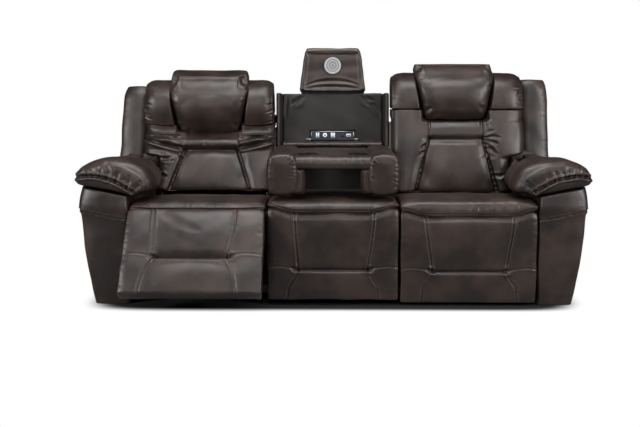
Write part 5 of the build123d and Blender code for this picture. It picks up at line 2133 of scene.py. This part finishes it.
def rounded_ring(d0: float, d1: float, z0: float, z1: float, corner: float) -> np.ndarray:
    """A side section with rounded corners, as (depth, height)."""
    c, q = corner, 0.3 * corner
    return np.array(
        [
            (d0, z0 + c), (d0 + q, z0 + q), (d0 + c, z0), (d1 - c, z0), (d1 - q, z0 + q),
            (d1, z0 + c), (d1, z1 - c), (d1 - q, z1 - q), (d1 - c, z1), (d0 + c, z1),
            (d0 + q, z1 - q), (d0, z1 - c),
        ]
    )


# ---------------------------------------------------------------- hard details
def block_mesh(x0: float, x1: float, d0: float, d1: float, z0: float, z1: float) -> Shell:
    """A plain box."""
    x0, x1 = sorted((x0, x1))
    points = np.array([(x, d, z) for z in (z0, z1) for d in (d0, d1) for x in (x0, x1)], float)
    quads = np.array(
        [(0, 2, 3, 1), (4, 5, 7, 6), (0, 1, 5, 4), (2, 6, 7, 3), (0, 4, 6, 2), (1, 3, 7, 5)]
    )
    return Shell(points, quads, np.zeros((0, 3), int))


def ring_mesh(x: float, z: float, inner: float, outer: float, d0: float, d1: float) -> Shell:
    """A flat ring that faces forward.

    Args:
        x: Its middle.
        z: The height of its middle.
        inner: The radius of its hole, which may be 0.
        outer: Its radius.
        d0: Depth of its front.
        d1: Depth of its back.

    Returns:
        The ring.
    """
    n = 48
    a = np.linspace(0, 2 * math.pi, n, endpoint=False)
    loops = []
    for radius, depth in ((inner, d1), (inner, d0), (outer, d0), (outer, d1)):
        loops.append(
            np.stack([x + radius * np.cos(a), np.full(n, depth), z + radius * np.sin(a)], 1)
        )
    ids = np.arange(4 * n).reshape(4, n)
    quads = []
    for k in range(4):
        low, high = ids[k], ids[(k + 1) % 4]
        quads.append(np.stack([low, np.roll(low, -1), np.roll(high, -1), high], 1))
    shell = Shell(np.concatenate(loops), np.concatenate(quads), np.zeros((0, 3), int))
    if shell.volume() < 0:
        shell.quads = shell.quads[:, ::-1]
    return shell


def disc_mesh(x: float, z: float, radius: float, d0: float, d1: float) -> Shell:
    """A disc that faces forward."""
    return ring_mesh(x, z, 0.01, radius, d0, d1)


def hardware(
    name: str, parts: Sequence[Shell], pose: Pose, finish: Finish, body: str
) -> None:
    """Makes one hard piece of several shells.

    Args:
        name: The piece's name.
        parts: Its shells.
        pose: Where it stands at rest.
        finish: Its finish.
        body: The body that it rides on.
    """
    points, quads, first = [], [], 0
    for part in parts:
        points.append(part.points)
        quads.append(part.quads + first)
        first += len(part.points)
    shell = Shell(
        to_row(pose(np.concatenate(points))), np.concatenate(quads), np.zeros((0, 3), int)
    )
    obj = finished(name, shell.raw_mesh(name), finish)
    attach(obj, body)


# ---------------------------------------------------------------- hardware and studio
NODE_FINISHES: dict[str, Finish] = {
    "timber_frames": Finish.TIMBER, "surround_frame": Finish.TIMBER,
    "seat_springs": Finish.BRIGHT_STEEL, "mechanism_plates": Finish.DARK_STEEL,
    "base_rails": Finish.DARK_STEEL, "floor_glides": Finish.BLACK_PLASTIC,
    "motors_and_supply": Finish.BLACK_PLASTIC, "switch_plates": Finish.BLACK_PLASTIC,
    "console_board": Finish.LINING, "cup_holders": Finish.DARK_STEEL,
    "console_hinge_arms": Finish.DARK_STEEL, "rear_panels": Finish.LINING,
    "outlet_strip": Finish.SOCKET, "fixed_hinges": Finish.DARK_STEEL,
    "lamp_bezel": Finish.LAMP_METAL, "lamp_lens": Finish.DIFFUSER,
}
SIDE_FINISHES: dict[str, Finish] = {
    "back_frame": Finish.TIMBER, "head_frame": Finish.DARK_STEEL, "swing_links": Finish.DARK_STEEL,
    "partner_links": Finish.DARK_STEEL, "mid_links": Finish.DARK_STEEL,
    "control_links": Finish.DARK_STEEL, "footrest_frame": Finish.DARK_STEEL,
    "drive_rod": Finish.BRIGHT_STEEL, "recline_switch": Finish.BLACK_PLASTIC,
    "headrest_switch": Finish.BLACK_PLASTIC,
}


def dress_nodes(frame: dict) -> None:
    """Gives the nodes that are kept their finishes."""
    for name, obj in frame["nodes"].items():
        finish = NODE_FINISHES.get(name) or SIDE_FINISHES.get(name.split("_", 1)[1])
        if finish is None:
            continue
        for slot in obj.material_slots:
            slot.material = finish.material
        LOG.info("%s: %s", name, finish.value.name)


class Studio:
    """The floor, the light and the camera."""

    def build(self) -> None:
        """Makes the studio."""
        self._floor()
        self._world()
        self._lamp("overhead", (0.0, -0.9, 3.6), (0.0, 0.1, 0.5), (3.6, 1.2), 122)
        self._lamp("key_left", (-3.4, -2.2, 1.9), (-0.2, 0.1, 0.7), (0.7, 1.6), 92)
        self._lamp("fill_right", (3.4, -2.2, 1.9), (0.2, 0.1, 0.7), (0.7, 1.6), 92)
        self._lamp("front", (0.2, -4.6, 3.0), (0.0, 0.0, 0.6), (1.6, 0.7), 46)
        self._camera()

    def _floor(self) -> None:
        """A pale floor that keeps the sofa's shadow, plus a painted shadow: to the camera its
        colour falls to near black under and just around the sofa.
        """
        mesh = bpy.data.meshes.new("floor")
        corners = ((-1, -1), (1, -1), (1, 1), (-1, 1))
        points = [(x * FLOOR_HALF, y * FLOOR_HALF, 0) for x, y in corners]
        mesh.from_pydata(points, [], [(0, 1, 2, 3)])
        s = Shader("studio_floor")
        light = s.node("ShaderNodeLightPath", {}, output="Is Camera Ray")
        glow = s.node("ShaderNodeEmission", {}, Color=rgb(1, 1, 1), Strength=1.0)
        x, y = (s.node("ShaderNodeSeparateXYZ", {}, s.where, output=k) for k in (0, 1))
        # away is 0 inside a rounded box around the sofa, where the floor carries a painted shadow,
        # and 1 outside it
        along = x * (1 / SHADOW_HALF[0])
        across = (y - SHADOW_CENTRE) * (1 / SHADOW_HALF[1])
        power = SHADOW_SQUARENESS
        away = ((along**power + across**power) ** (1 / power)).band(0.99, 1.16) ** 1.6
        # painted shadow: to the camera the floor's colour falls from 0.86 to 0.02 inside the box
        painted_shadow_floor = s.mix(away, rgb(0.02, 0.02, 0.02), rgb(0.86, 0.86, 0.86))
        pale = s.mix(light, rgb(0.26, 0.26, 0.26), painted_shadow_floor)
        matt = s.node("ShaderNodeBsdfDiffuse", {}, Color=pale)
        mixed = s.node("ShaderNodeMixShader", {}, light * away, matt, glow)
        s.tree.links.new(mixed.socket, s.output.inputs[0])
        mesh.materials.append(s.material)
        floor = placed("floor", mesh)

    def _world(self) -> None:
        """A white surround for the camera, and a soft level for the sofa."""
        world = bpy.data.worlds.new("studio")
        bpy.context.scene.world = world
        world.use_nodes = True
        tree = world.node_tree
        tree.nodes.clear()
        path = tree.nodes.new("ShaderNodeLightPath")
        most = tree.nodes.new("ShaderNodeMath")
        most.operation = "MAXIMUM"
        tree.links.new(path.outputs["Is Camera Ray"], most.inputs[0])
        tree.links.new(path.outputs["Is Transmission Ray"], most.inputs[1])
        mixed = tree.nodes.new("ShaderNodeMixShader")
        out = tree.nodes.new("ShaderNodeOutputWorld")
        tree.links.new(most.outputs[0], mixed.inputs[0])
        for socket, strength in ((1, SOFT_LEVEL), (2, 1.0)):
            glow = tree.nodes.new("ShaderNodeBackground")
            glow.inputs[0].default_value = rgb(1, 1, 1)
            glow.inputs[1].default_value = strength
            tree.links.new(glow.outputs[0], mixed.inputs[socket])
        tree.links.new(mixed.outputs[0], out.inputs[0])

    def _lamp(
        self,
        name: str,
        place: tuple[float, float, float],
        target: tuple[float, float, float],
        size: tuple[float, float],
        watts: float,
    ) -> None:
        """A soft box that faces a target."""
        data = bpy.data.lights.new(name, "AREA")
        data.shape, data.size, data.size_y, data.energy = "RECTANGLE", size[0], size[1], watts
        lamp = placed(name, data)
        lamp.location = place
        aim = Vector(target) - Vector(place)
        lamp.rotation_euler = aim.to_track_quat("-Z", "Y").to_euler()

    def _camera(self) -> None:
        """The camera at the photograph's place."""
        data = bpy.data.cameras.new("camera")
        data.lens, data.sensor_width, data.shift_y = 47.244, 36.0, -0.06
        data.clip_end = 200
        camera = placed("camera", data)
        camera.location = (-0.0115, -3.9951, 0.9796)
        camera.rotation_euler = (math.radians(90 - 6.334), 0.0, math.radians(0.707))
        bpy.context.scene.camera = camera


def main() -> None:
    """Builds the sofa and its studio."""
    logging.basicConfig(level=logging.INFO, format="%(message)s")
    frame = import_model()
    tailor = Tailor()
    Studio().build()
    dress_nodes(frame)
    left, middle, right = Span(-890.5, -294.5, 6), Span(-286, 286, 26), Span(294.5, 890.5, 25)
    slants = [[(x, 462), (x + 22, 446), (x + 34, 424)] for x in (566, 610, 650, 700, 752)]
    SeatCushion("left_seat_cushion", left, 462, 428, 11).build(tailor)
    SeatCushion("middle_seat_cushion", middle, 466, 444, 12).build(tailor)
    SeatCushion("right_seat_cushion", right, 471, 428, 13, slants).build(tailor)
    soft = [[(-760, 400), (-640, 330), (-560, 300)], [(-700, 300), (-600, 240), (-520, 226)]]
    left, right = Span(-895, -298, 6), Span(296.5, 890.5, 26)
    FrontPad(
        "left_footrest_pad", "left_footrest", left, 20, 434, foot_pose(36), 21, soft,
        182, (24, 50), (-179, -162, 181, 146),
    ).build(tailor)
    FrontPad(
        "middle_front_pad", "base", middle, 24, 441, at_rest, 22, (), 157, (16, 32),
        (-166, -151, 182, 152),
    ).build(tailor)
    FrontPad(
        "right_footrest_pad", "right_footrest", right, 12, 426, foot_pose(0), 23, (), 151, (14, 26),
        (-190, -157, 196, 164),
    ).build(tailor)
    ReclinerBack("left", -1, 10.0, 30.0, 640.0, 100, lean=8.0).build(tailor)
    ReclinerBack("right", 1, 0.0, 0.0, 690.0, 150).build(tailor)
    Arm("left", -1, 200).build(tailor)
    Arm("right", 1, 220).build(tailor)
    Console(300).build()
    Surround(400).build(tailor)
    bpy.context.scene.view_settings.view_transform = "Standard"


if __name__ == "__main__":
    main()
